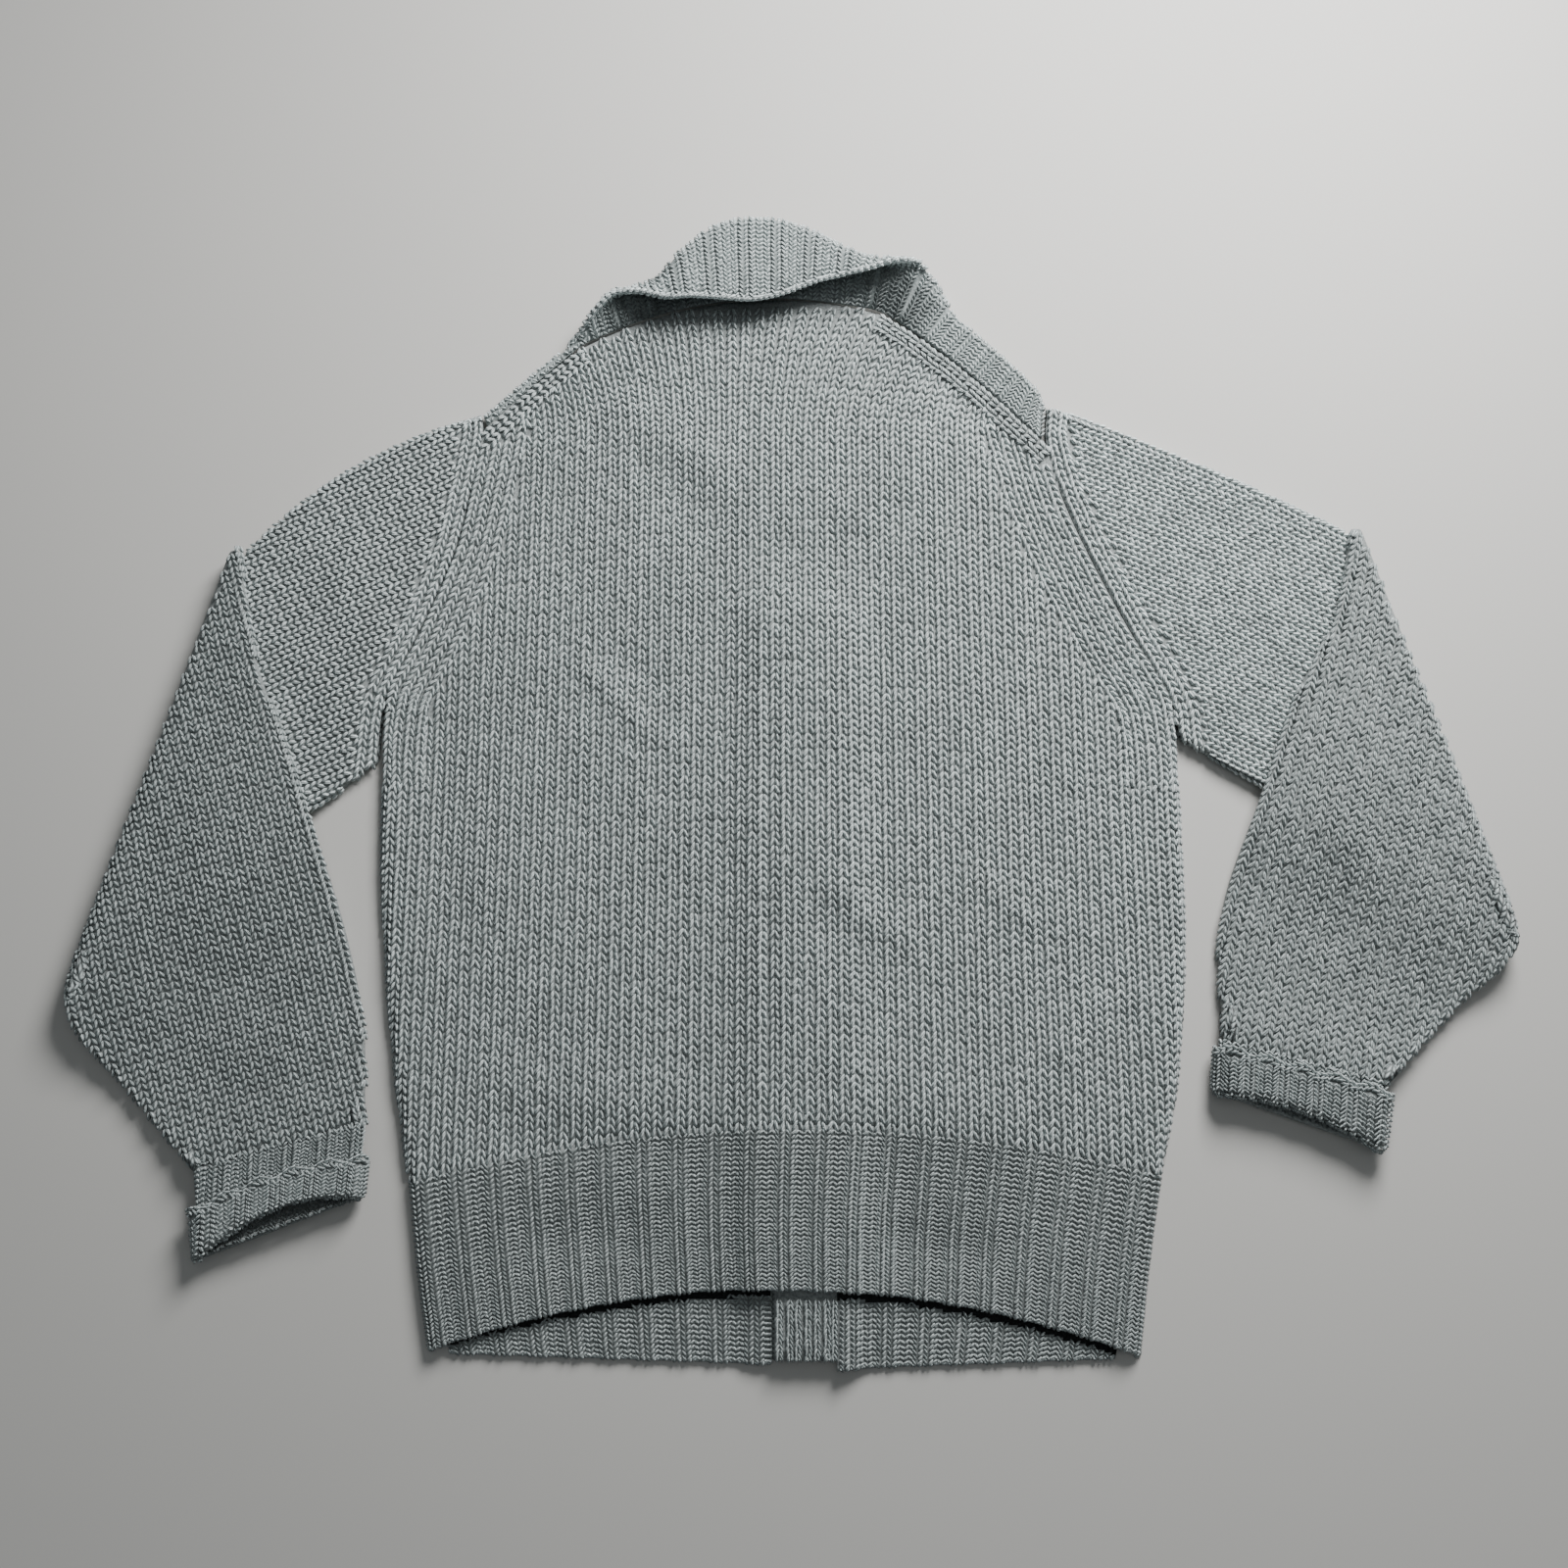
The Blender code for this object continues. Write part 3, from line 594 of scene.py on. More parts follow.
def steps(count):
    """Even shares from 0 to 1."""
    return [i / count for i in range(count + 1)]


def span(low, high, count):
    """Even steps from low to high."""
    return [blend(low, high, i / count) for i in range(count + 1)]


def leg_shape():
    """One leg of a stitch, a plump leaf of yarn one unit long, wide and high."""
    bm = bmesh.new()
    uv = bm.loops.layers.uv.new("Yarn")
    bmesh.ops.create_uvsphere(bm, u_segments=3, v_segments=3, radius=0.5, calc_uvs=True)
    bmesh.ops.triangulate(bm, faces=bm.faces)
    bm.verts.ensure_lookup_table()
    points = np.array([(-v.co.y, v.co.z, v.co.x) for v in bm.verts])
    faces = np.array([[v.index for v in f.verts] for f in bm.faces])
    uvs = np.array([[loop[uv].uv[:] for loop in f.loops] for f in bm.faces])
    bm.free()
    points /= np.abs(points).max(axis=0) * 2
    return points, faces, uvs


LEG = leg_shape()


class Stitching:
    """Gathers the legs of a piece's stitches and writes them as one mesh."""

    def __init__(self):
        self.legs = []
        self.tones = []
        # Painted shade: how much darker the legs are drawn; below zero it is painted light, which draws
        # them paler.
        self.shade = 0.0  # how much darker the legs are, or paler below zero

    def leg(self, middle, across, way, out, length, width, high, tone):
        """Adds one leg that lies this way, with this size and tone."""
        self.legs.append((middle, across * width, way * length, out * high))
        # The painted shade comes off each leg's random tone, and painted light adds to it.
        self.tones.append(tone - self.shade)

    def stitch(self, place, wale, row, lift=0.0, lean=LEAN):
        """A stitch at a place on the cloth: two legs that lean together, or apart where lean < 0."""
        middle, across, way, out = place
        shape = RIB_LEG if lean < 0 else PLAIN_LEG
        uneven = shape["uneven"]
        tone = chance.random()
        size = 1.0 + chance.uniform(-0.08, 0.08)
        shift = (across * chance.uniform(-0.2, 0.2) + way * chance.uniform(-0.06, 0.06) * row) * uneven
        slant = math.sin(math.radians(abs(lean)))
        length, width = shape["long"] * wale / slant, shape["wide"] * row * slant
        for side in (-1, 1):
            turn = math.radians(lean + chance.uniform(-5, 5) * uneven)
            run = way * math.cos(turn) - across * (side * math.sin(turn))
            beside = across * math.cos(turn) + way * (side * math.sin(turn))
            centre = middle + shift + across * (side * 0.25 * wale) + out * (lift - RELIEF + 1.1)
            self.leg(
                centre,
                beside,
                (run + out * chance.uniform(-0.2, -0.03)).normalized(),
                out,
                length * size,
                width * size,
                LEG_HIGH * size,
                tone * 0.4 + chance.random() * 0.6,
            )

    def bar(self, place, x, y, width, row, lift=0.0):
        """One sunk row of purl between two rib columns: a smile of yarn between two half frowns."""
        tone = chance.random()
        width += BAR_TUCK
        tilt = chance.uniform(-5, 5)
        aside, up = chance.uniform(-0.4, 0.4), chance.uniform(-0.2, 0.2)
        for beyond, side in ((-0.375, -1), (-0.125, 1), (0.125, -1), (0.375, 1)):
            middle, across, way, out = place(x + aside + beyond * width, y + up)
            turn = math.radians(side * (BAR_SLOPE + chance.uniform(-7, 7)) + tilt)
            self.leg(
                middle + out * (lift - RELIEF + 0.8),
                across * -math.sin(turn) - way * math.cos(turn),
                across * math.cos(turn) - way * math.sin(turn),
                out,
                BAR_LEG["long"] * width,
                BAR_LEG["wide"] * row,
                BAR_LEG["high"],
                tone * 0.4 + chance.random() * 0.6,
            )

    def build(self, name, material):
        """One mesh of all the legs, none of them below the floor."""
        points, faces, uvs = LEG
        frames = np.array([[list(v) for v in leg] for leg in self.legs])
        count = len(frames)
        placed = frames[:, 0][:, None, :] + np.einsum("vk,nkc->nvc", points, frames[:, 1:])
        placed[..., 2] = np.maximum(placed[..., 2], 0.0)
        placed = (placed - np.array(ORIGIN)) * MM
        all_faces = faces[None] + (np.arange(count) * len(points))[:, None, None]
        mesh = bpy.data.meshes.new(name)
        mesh.from_pydata(placed.reshape(-1, 3), [], all_faces.reshape(-1, 3))
        layer = mesh.uv_layers.new(name="Yarn")
        layer.data.foreach_set("uv", np.tile(uvs.reshape(-1), count))
        tone = mesh.attributes.new("tone", "FLOAT", "POINT")
        tone.data.foreach_set("value", np.repeat(np.array(self.tones), len(points)))
        return piece(name, mesh, [material])


def place_of(surface, spot, way):
    """Where a stitch lies: its middle, and the ways across, along and out of the cloth."""
    way = Vector(way).normalized()
    side = Vector((way.y, -way.x))
    middle = surface(spot)
    up = (surface(spot + way * 1.5) - surface(spot - way * 1.5)).normalized()
    across = (surface(spot + side * 1.5) - surface(spot - side * 1.5)).normalized()
    out = across.cross(up).normalized()
    return middle, up.cross(out), up, out


# ---- Materials ----
def new_material(name, roughness, sheen=0.0):
    material = bpy.data.materials.new(name)
    material.use_nodes = True
    shader = material.node_tree.nodes["Principled BSDF"]
    shader.inputs["Roughness"].default_value = roughness
    shader.inputs["Specular IOR Level"].default_value = 0.25
    shader.inputs["Sheen Weight"].default_value = sheen
    shader.inputs["Sheen Roughness"].default_value = 0.5
    return material, material.node_tree, shader


def node(tree, kind, **settings):
    """A new node; in_2=... sets its third input, and any other name its own setting."""
    made = tree.nodes.new(kind)
    for key, value in settings.items():
        if key.startswith("in_"):
            made.inputs[int(key[3:])].default_value = value
        else:
            setattr(made, key, value)
    return made


def maths(tree, operation, a, b=None):
    made = tree.nodes.new("ShaderNodeMath")
    made.operation = operation
    for slot, value in enumerate((a, b)):
        if value is None:
            continue
        if isinstance(value, (int, float)):
            made.inputs[slot].default_value = value
        else:
            tree.links.new(value, made.inputs[slot])
    return made.outputs[0]


def split_axes(tree, vector):
    """The three parts of a vector."""
    made = node(tree, "ShaderNodeSeparateXYZ")
    tree.links.new(vector, made.inputs[0])
    return made.outputs


def weighed(tree, *terms):
    """The sum of these outputs, each times its share."""
    total, *others = (maths(tree, "MULTIPLY", output, share) for output, share in terms)
    for term in others:
        total = maths(tree, "ADD", total, term)
    return total


def hump(tree, value):
    """A row of round humps, one for each whole number that the value passes."""
    return maths(tree, "ABSOLUTE", maths(tree, "SINE", maths(tree, "MULTIPLY", value, math.pi)))


def noise(tree, here, scale):
    """Fine speckles, this many to a metre."""
    made = node(tree, "ShaderNodeTexNoise", in_2=scale, in_3=2.0)
    tree.links.new(here, made.inputs["Vector"])
    return made.outputs["Fac"]


def set_color(tree, shader, factor, stops):
    """Colours the surface by this factor, through these stops."""
    made = tree.nodes.new("ShaderNodeValToRGB")
    while len(made.color_ramp.elements) < len(stops):
        made.color_ramp.elements.new(0.5)
    for element, (position, color) in zip(made.color_ramp.elements, stops):
        element.position = position
        element.color = (*color, 1.0)
    tree.links.new(factor, made.inputs[0])
    tree.links.new(made.outputs[0], shader.inputs["Base Color"])


def set_bump(tree, shader, height, strength, depth):
    """Roughens the surface by this height, its depth in metres."""
    made = node(tree, "ShaderNodeBump")
    made.inputs["Strength"].default_value = strength
    made.inputs["Distance"].default_value = depth
    tree.links.new(height, made.inputs["Height"])
    tree.links.new(made.outputs[0], shader.inputs["Normal"])


DARK_STRAND = (0.11, 0.127, 0.126)
WOOL_GREY = (0.365, 0.412, 0.408)
PALE_STRAND = (0.78, 0.85, 0.845)
KNIT_SHADE = (0.06, 0.063, 0.062)


def yarn_material(name, lift=0.0):
    """Plied marl wool: pale and dark strands twisted together, with a short fuzz."""
    material, tree, shader = new_material(name, 0.92, 0.3)
    here = node(tree, "ShaderNodeTexCoord")
    tone = node(tree, "ShaderNodeAttribute", attribute_name="tone").outputs["Fac"]
    marl = noise(tree, here.outputs["Object"], 850.0)
    patch = noise(tree, here.outputs["Object"], 14.0)
    round_leg, along_leg, _ = split_axes(tree, here.outputs["UV"])
    ply = hump(tree, weighed(tree, (along_leg, 1.2), (round_leg, 5.0)))
    # The ply stripes are drawn paler on each ply's crest and darker between the plies: painted light
    # and shade over the marl's own pale and dark strands.
    mix = weighed(tree, (marl, 0.62), (tone, 0.14), (ply, 0.28), (patch, 0.1))
    # Painted light: lift draws all of the yarn paler.
    mix = maths(tree, "ADD", mix, lift)
    set_color(tree, shader, mix, [(0.3, DARK_STRAND), (0.58, WOOL_GREY), (0.84, PALE_STRAND)])
    height = maths(tree, "ADD", ply, maths(tree, "MULTIPLY", marl, 0.8))
    set_bump(tree, shader, height, 0.6, 0.0005)
    return material


def ground_material(name, dark, pale):
    """The inside of the fabric seen between the stitches, darkened with painted shade."""
    material, tree, shader = new_material(name, 1.0)
    here = node(tree, "ShaderNodeTexCoord")
    fuzz = noise(tree, here.outputs["Object"], 700.0)
    set_color(tree, shader, fuzz, [(0.3, dark), (0.7, pale)])
    return material


def knit_material(name, wale, row, turn=0.0, rib=False):
    """Flat knitting where the cloth lies on another layer: columns of leaning legs."""
    material, tree, shader = new_material(name, 0.95, 0.2)
    here = node(tree, "ShaderNodeTexCoord")
    mapping = node(tree, "ShaderNodeMapping", vector_type="TEXTURE")
    mapping.inputs["Rotation"].default_value = (0.0, 0.0, turn)
    mapping.inputs["Scale"].default_value = (wale * MM, row * MM, 1.0)
    tree.links.new(here.outputs["Object"], mapping.inputs["Vector"])
    across, up, _ = split_axes(tree, mapping.outputs[0])
    beside = maths(tree, "ABSOLUTE", maths(tree, "SUBTRACT", maths(tree, "FRACT", across), 0.5))
    profile = maths(tree, "SUBTRACT", maths(tree, "MULTIPLY", beside, 4.0), 1.0)
    profile = maths(tree, "SUBTRACT", 1.0, maths(tree, "MULTIPLY", profile, profile))
    leg = hump(tree, maths(tree, "ADD", up, maths(tree, "MULTIPLY", beside, 1.5)))
    height = maths(tree, "MULTIPLY", profile, maths(tree, "POWER", leg, 0.6))
    if rib:
        pair = maths(tree, "FRACT", maths(tree, "MULTIPLY", across, 0.25))
        bars = maths(tree, "MULTIPLY", hump(tree, up), 0.6)
        purl = maths(tree, "GREATER_THAN", pair, 0.5)
        plain = maths(tree, "MULTIPLY", height, maths(tree, "SUBTRACT", 1.0, purl))
        height = maths(tree, "ADD", plain, maths(tree, "MULTIPLY", bars, purl))
    marl = noise(tree, here.outputs["Object"], 900.0)
    # Painted light and shade: the legs' ridges are drawn pale and the grooves between them near black,
    # over the marl.
    mix = weighed(tree, (height, 0.55), (marl, 0.35))
    set_color(tree, shader, mix, [(0.15, KNIT_SHADE), (0.5, WOOL_GREY), (0.9, PALE_STRAND)])
    set_bump(tree, shader, height, 0.8, 0.0016)
    return material


def button_material():
    """Plain dark horn: brown layers with a few paler streaks, worn satin."""
    material, tree, shader = new_material("Dark horn button", 0.38)
    here = node(tree, "ShaderNodeTexCoord")
    layers = node(tree, "ShaderNodeTexWave", in_1=180.0, in_2=6.0, in_3=3.0)
    tree.links.new(here.outputs["Object"], layers.inputs["Vector"])
    brown, tan, straw = (0.05, 0.04, 0.033), (0.13, 0.1, 0.075), (0.26, 0.2, 0.14)
    set_color(tree, shader, layers.outputs["Fac"], [(0.1, brown), (0.8, tan), (1.0, straw)])
    set_bump(tree, shader, noise(tree, here.outputs["Object"], 1500.0), 0.15, 0.0002)
    return material


YARN = yarn_material("Plied grey marl wool")
# Painted light: the collar's yarn is drawn paler.
COLLAR_YARN = yarn_material("Plied marl wool of the collar", 0.08)
BUTTON = button_material()
# Painted shade: the ground sheets are drawn darker than the yarn, standing in for the shade between the
# stitches.
GROUND = ground_material("Wool between the stitches", (0.17, 0.185, 0.183), (0.35, 0.375, 0.371))
# Painted shadow: near-black wool for the strip under the back hem's edge, where the raised hem also
# casts a real shadow.
SHADED = ground_material(
    "Wool in the shade of the back's edge", (0.008, 0.009, 0.009), (0.03, 0.032, 0.032)
)
COLLAR_GROUND = ground_material("Felted wool of the collar", (0.16, 0.18, 0.178), (0.36, 0.4, 0.395))
KNIT = knit_material("Stockinette underside", WALE, ROW)
RIB = knit_material("Ribbed underside", RIB_WALE, RIB_ROW, rib=True)


# ---- The back and its ribbed hem ----
SIDE_ROWS = BACK_HEM_ROWS[:-1] + [row for row in BODY_ROWS if row["at"] <= 0.55]
SIDE_EDGES = [
    Edge(curve([row[column] for row in SIDE_ROWS]), EDGE, (0, -100)) for column in ("left", "right")
]
RAGLANS = [Edge(raglan_line(column), 0, (0, 100)) for column in ("left", "right")]
STRIPS = []
for column, count, side, shy in (("left", STRIP_LEFT, 1, 0.1), ("right", STRIP_RIGHT, -1, 0.8)):
    guide = curve([row[column] for row in BODY_ROWS if 0.28 <= row["at"] <= 0.88])
    STRIPS.append(dict(line=guide, edge=Edge(guide, 0, (0, 100)), columns=count, side=side, shy=shy))
NECK = curve(neck_line(), 4)
NECK_LENGTH = line_length(NECK)
NECK_MIDDLE = -40.0
SLOPE_POINTS = 8  # points of the neck line on each of its two slopes
SLOPES = ((-7.0, 84.0), (NECK_LENGTH - 140, NECK_LENGTH + 7))


def hem_line(x, rows):
    """Height on the plan of the bottom of the table's first row at this x."""
    left, right = Vector(rows[0]["left"]), Vector(rows[0]["right"])
    share = (x - left.x) / (right.x - left.x)
    return blend(left.y, right.y, share) + rows[0]["arch"] * 4 * share * (1 - share)


def neck_height(x):
    """Where the back ends at the neck at this x."""
    for a, b in zip(NECK, NECK[1:]):
        if a.x <= x <= b.x:
            return blend(a.y, b.y, (x - a.x) / (b.x - a.x))
    return math.inf


def body_roll(y):
    """How far the sides round down here: 1 in full, 0 not at all."""
    return 1.0 - ease((y - SIDE_ROLL_LOW) / (SIDE_TOP - SIDE_ROLL_LOW))


def back_surface(spot):
    """The outer face of the back, round its sides too."""
    spot = Vector(spot)
    down = 0.0
    if spot.y < SIDE_TOP and not MIDDLE_LEFT <= spot.x <= MIDDLE_RIGHT:
        for edge in SIDE_EDGES:
            gap, inward = edge.gap(spot)
            if gap < EDGE:
                turn = min((EDGE - gap) / EDGE, LAST_TURN)
                spot = spot + inward * (EDGE * (1 - math.sin(turn)) - gap)
                down += (EDGE - 0.5) * (1 - math.cos(turn)) * body_roll(spot.y)
    return Vector((spot.x, spot.y, back_height(spot) - down))


def upper_panel(name, shape, rows, materials):
    """The back or its hem: a sheet that rounds down at its two sides."""
    rounding = [EDGE * (1 - math.cos(math.pi / 2 * i / 6)) for i in range(6)]
    across = [("left", reach) for reach in rounding]
    across += [("flat", share) for share in steps(96)]
    across += [("right", reach) for reach in reversed(rounding)]

    def point(column, at):
        width = (along(shape, at, "right") - along(shape, at, "left")).length
        kind, value = column
        reach = value
        if kind == "flat":
            reach = EDGE + (width - 2 * EDGE) * value
        elif kind == "right":
            reach = width - value
        spot = upper_point(shape, at, reach / width)
        drop = 0.0
        for edge_reach in (reach, width - reach):
            if edge_reach < EDGE:
                drop = 1 - math.sqrt(max(1 - (1 - edge_reach / EDGE) ** 2, 0.0))
        top = back_height(spot)
        return Vector((spot.x, spot.y, top - (top - SIDE_FLOOR) * drop * along(shape, at, "roll")))

    panel = spread(name, across, rows, point, materials, sink=RELIEF)
    return thicken(panel, CLOTH - RELIEF, other_face=1)


def fan(x, y):
    """How far a column of the back has leant outwards by the time it reaches this height."""
    rise = max(y - FAN_LOW, 0.0)
    lean = min(max((x - NECK_MIDDLE) / FAN_HALF, -1.0), 1.0)
    return 0.5 * lean * rise * rise / FAN_RISE


def in_strip(spot, low):
    """Whether a place is taken by the columns along a raglan, from this far inside its line."""
    return any(low <= strip["edge"].gap(spot)[0] < strip["columns"] * WALE for strip in STRIPS)


def slope_strip(spot):
    """Width of the columns along the neck seam here."""
    if spot.x < NECK[SLOPE_POINTS].x or spot.x > NECK[-SLOPE_POINTS - 1].x:
        return 2 * SLOPE_WALE / 0.78
    return 0.0


def beyond_neck(spot):
    """Whether a stitch here would lie past the neck seam."""
    if not NECK[0].x < spot.x < NECK[-1].x:
        return spot.y > NECK_LOW
    return spot.y > neck_height(spot.x) - (slope_strip(spot) or 0.6)


def in_straight_part(spot):
    """Whether a place of the back is left to its straight columns."""
    if spot.y > SIDE_TOP:
        return not ((spot.y < STRIP_HIGH and in_strip(spot, -math.inf)) or beyond_neck(spot))
    if spot.y > STRIP_LOW and in_strip(spot, 0.0):
        return False
    return all(edge.gap(spot)[0] >= -SIDE_TUCK for edge in SIDE_EDGES)


def first_row(x):
    """Where a column of the back begins, at its seam with the rib."""
    return hem_line(x, BODY_ROWS) - ROW * 0.1


def straight_columns(made):
    """Straight columns, from the rib up to the raglan strips and the neck."""
    low, high = BODY_ROWS[0]["left"][0] + 2, BODY_ROWS[0]["right"][0] - 2
    for column in range(-42, 43):
        x = BAND_MIDDLE + (column + 0.5) * WALE
        y = first_row(min(max(x, low), high))
        while y < 310:
            spot = Vector((x + fan(x, y), y))
            y += ROW
            if in_straight_part(spot):
                way = Vector((fan(x, y + 2) - fan(x, y - 2), 4.0))
                made.stitch(place_of(back_surface, spot, way), WALE, ROW)


def raglan_columns(made):
    """Columns that rise straight beside the body's edge, then follow the raglan lines."""
    for strip in STRIPS:
        line, length = strip["line"], line_length(strip["line"])
        for i in range(strip["columns"]):
            aside = (i + 0.5) * WALE + strip["shy"]
            bottom = first_row(line[0].x + strip["side"] * aside)
            first = bottom + ROW * math.ceil((STRIP_LOW - bottom) / ROW)
            reach = first - line[0].y
            while reach < length + 40:
                at, ahead = by_length(line, reach), by_length(line, reach + 6)
                reach += ROW
                way = (ahead - at).normalized()
                spot = at + Vector((way.y, -way.x)) * strip["side"] * aside
                if strip["edge"].gap(spot)[0] >= (i + 0.3) * WALE and not beyond_neck(spot):
                    made.stitch(place_of(back_surface, spot, way), WALE, ROW)


def slope_columns(made):
    """Columns that follow the sloping parts of the neck seam."""
    for low, high in SLOPES:
        for i in range(2):
            reach = low
            while reach < high:
                at, ahead = by_length(NECK, reach), by_length(NECK, reach + 5)
                way = (ahead - at).normalized()
                spot = at + Vector((way.y, -way.x)) * ((i + 0.5) * SLOPE_WALE + 0.6)
                reach += ROW * 1.1
                if all(edge.gap(spot)[0] > 1.0 for edge in RAGLANS):
                    place = place_of(back_surface, spot, way)
                    made.stitch(place, SLOPE_WALE, ROW * 1.15, lift=0.5)


def back_stitches():
    made = Stitching()
    # Painted light: the back's stitches are drawn paler.
    made.shade = BACK_PAINTED_LIGHT
    straight_columns(made)
    raglan_columns(made)
    slope_columns(made)
    return made.build("back_stitches", YARN)


def rib_stitches(
    made, surface, width, low, high, start=0.0, way=1, wale=RIB_WALE, purl=PURL, offset=0.0, skip=None
):
    """Two by two rib on a surface, from its x = start on and from y = low to high."""

    def place(x, y):
        return place_of(surface, Vector((x + start, y)), (0, way))

    repeat = 2 * wale + purl
    for first in range(-1, int(width / repeat) + 2):
        left = first * repeat + offset
        sunk, risen = max(left + 2 * wale, 0.0), min(left + repeat, width)
        for row in range(int((high - low) / RIB_ROW)):
            y = low + (row + 0.5) * RIB_ROW
            for x in (left + 0.5 * wale, left + 1.5 * wale):
                if 0 <= x <= width and not (skip and skip(x, y)):
                    made.stitch(place(x, y), wale, RIB_ROW, 0.3, RIB_LEAN)
            x = (sunk + risen) / 2
            if risen - sunk > purl / 3 and not (skip and skip(x, y)):
                made.bar(place, x, y, risen - sunk, RIB_ROW)


def rolled_under(surface, radius):
    """The surface, carried on past its bottom edge at y = 0 and round it."""

    def point(spot):
        if spot.y >= radius:
            return surface(spot)
        turn = min((radius - spot.y) / radius, LAST_ROLL)
        start = surface(Vector((spot.x, radius)))
        down = surface(Vector((spot.x, radius + 1.0))) - start
        across = surface(Vector((spot.x + 1.0, radius))) - surface(Vector((spot.x - 1.0, radius)))
        out = across.cross(down).normalized()
        ahead = down.normalized() * (radius * math.sin(turn))
        return start - ahead - out * (radius * (1 - math.cos(turn)))

    return point


def hem_stitches():
    made = Stitching()
    width = HEM_WIDTH + 2 * SIDE_TUCK

    def surface(spot):
        at = spot.y / HEM_LENGTH
        run = (along(BACK_HEM_ROWS, at, "right") - along(BACK_HEM_ROWS, at, "left")).length
        share = (spot.x / width) * (run + 2 * SIDE_TUCK) / run - SIDE_TUCK / run
        share += 0.01 * math.sin(math.pi * min(max(share, 0.0), 1.0))
        return back_surface(upper_point(BACK_HEM_ROWS, at, share))

    rib_stitches(made, rolled_under(surface, CLOTH / 2), width, -TUCK, HEM_LENGTH, offset=5.5)
    return made.build("back_hem_stitches", YARN)


back = upper_panel("back", BODY_ROWS, steps(110), [GROUND, KNIT])
back_wales = back_stitches()
back_hem = upper_panel("back_hem", BACK_HEM_ROWS, steps(24), [GROUND, RIB])
hem_wales = hem_stitches()


# ---- The lower layer: fronts, their hems, the lapels and the two bands ----
def lower_sheet(name, columns, rows, edges, side, materials, sink=0.0):
    """A sheet of the lower layer between the two edge points that edges(at) gives."""

    def point(u, at):
        left, right = edges(at)
        spot = left.lerp(right, u)
        return Vector((spot.x, spot.y, front_under(spot.x, spot.y, side) + CLOTH))

    obj = spread(name, steps(columns), rows, point, materials, sink)
    return thicken(obj, CLOTH - sink, other_face=1)


def front(side, column):
    """One front, from its side to its band, hidden under the back."""

    def edges(at):
        outer = along(BODY_ROWS, at, column) - Vector((side * along(BODY_ROWS, at, "inset"), 0))
        if at == 0.0:
            outer += Vector((-side * FRONT_DIP_IN, -FRONT_DIP))
        inner = along(FRONT_EDGES, at, column) + Vector((side * SEAM, 0))
        return (outer, inner) if side < 0 else (inner, outer)

    return lower_sheet("front_" + column, 24, span(0.0, FRONT_TOP, 44), edges, side, [KNIT, KNIT])


def shade_below(x):
    """How far the painted shadow under the back hem's edge reaches out, less on the left side."""
    return SHADE_BELOW * (0.3 + 0.7 * ease((x + 215) / 110))


def front_hem(side, column):
    """One front's ribbed hem, the strip of it under the back hem's edge in painted shadow."""

    def edges(at):
        outer = along(FRONT_HEM_OUTER, at, column)
        inner = along(FRONT_HEM_INNER, at, column) + Vector((side * SEAM, 0))
        return (outer, inner) if side < 0 else (inner, outer)

    materials = [GROUND, RIB, SHADED, RIB]
    sheet = lower_sheet("front_hem_" + column, 60, steps(50), edges, side, materials, RELIEF)
    # Painted shadow: faces under the back hem's edge take the near-black wool.
    for face in sheet.data.polygons:
        at = face.center / MM + ORIGIN
        if at.y > hem_line(at.x, BACK_HEM_ROWS) - shade_below(at.x) - 1.0:
            face.material_index = 2
    return sheet, front_hem_stitches(side, column, edges)


def front_hem_stitches(side, column, edges):
    """The rib of a front hem, where it shows below the back hem."""
    made = Stitching()
    width = abs(FRONT_HEM_INNER[0][column][0] - FRONT_HEM_OUTER[0][column][0]) - 1.0

    def surface(spot):
        left, right = edges(spot.y / FRONT_HEM_LENGTH)
        at = left.lerp(right, spot.x / width)
        return Vector((at.x, at.y, front_under(at.x, at.y, side) + CLOTH))

    def hidden(x, y):
        at = surface(Vector((x, max(y, 0.0))))
        # Stitches are left off the strip of painted shadow too, so its near-black wool shows.
        return at.y > hem_line(at.x, BACK_HEM_ROWS) - shade_below(at.x)

    rolled, first = rolled_under(surface, CLOTH / 2), 3.0 if side < 0 else 1.0
    rib_stitches(made, rolled, width, -TUCK, FRONT_HEM_SEEN, offset=first, skip=hidden)
    return made.build("front_hem_stitches_" + column, YARN)


def lapel(side, column):
    """The collar's end that runs down one front."""

    def edges(at):
        outer = along(FRONT_EDGES, at, column) - Vector((side * 1.3 * SEAM, 0))
        inner = along(LAPEL_ROWS, at, column)
        return (outer, inner) if side < 0 else (inner, outer)

    return lower_sheet("collar_front_" + column, 8, span(0.555, FRONT_TOP, 24), edges, side, [RIB, RIB])


def band(name, x_low, x_high, side):
    """One of the two straight bands, from its bottom end to its top."""

    def point(u, v):
        y = blend(BAND_BOTTOM, BAND_TOP, v)
        return Vector((blend(x_low, x_high, u), y, band_under(y, side) + CLOTH))

    obj = spread(name, steps(8), steps(60), point, [GROUND if side > 0 else RIB, RIB], RELIEF)
    return thicken(obj, CLOTH - RELIEF, other_face=1)


# The outer band's columns of stitches: how far across it, and how wide.
BAND_COLUMNS = ((3.2, 5.6), (9.6, 5.2), (14.6, 5.2), (20.6, 5.6), (26.0, 5.4), (32.0, 5.6), (36.4, 4.6))


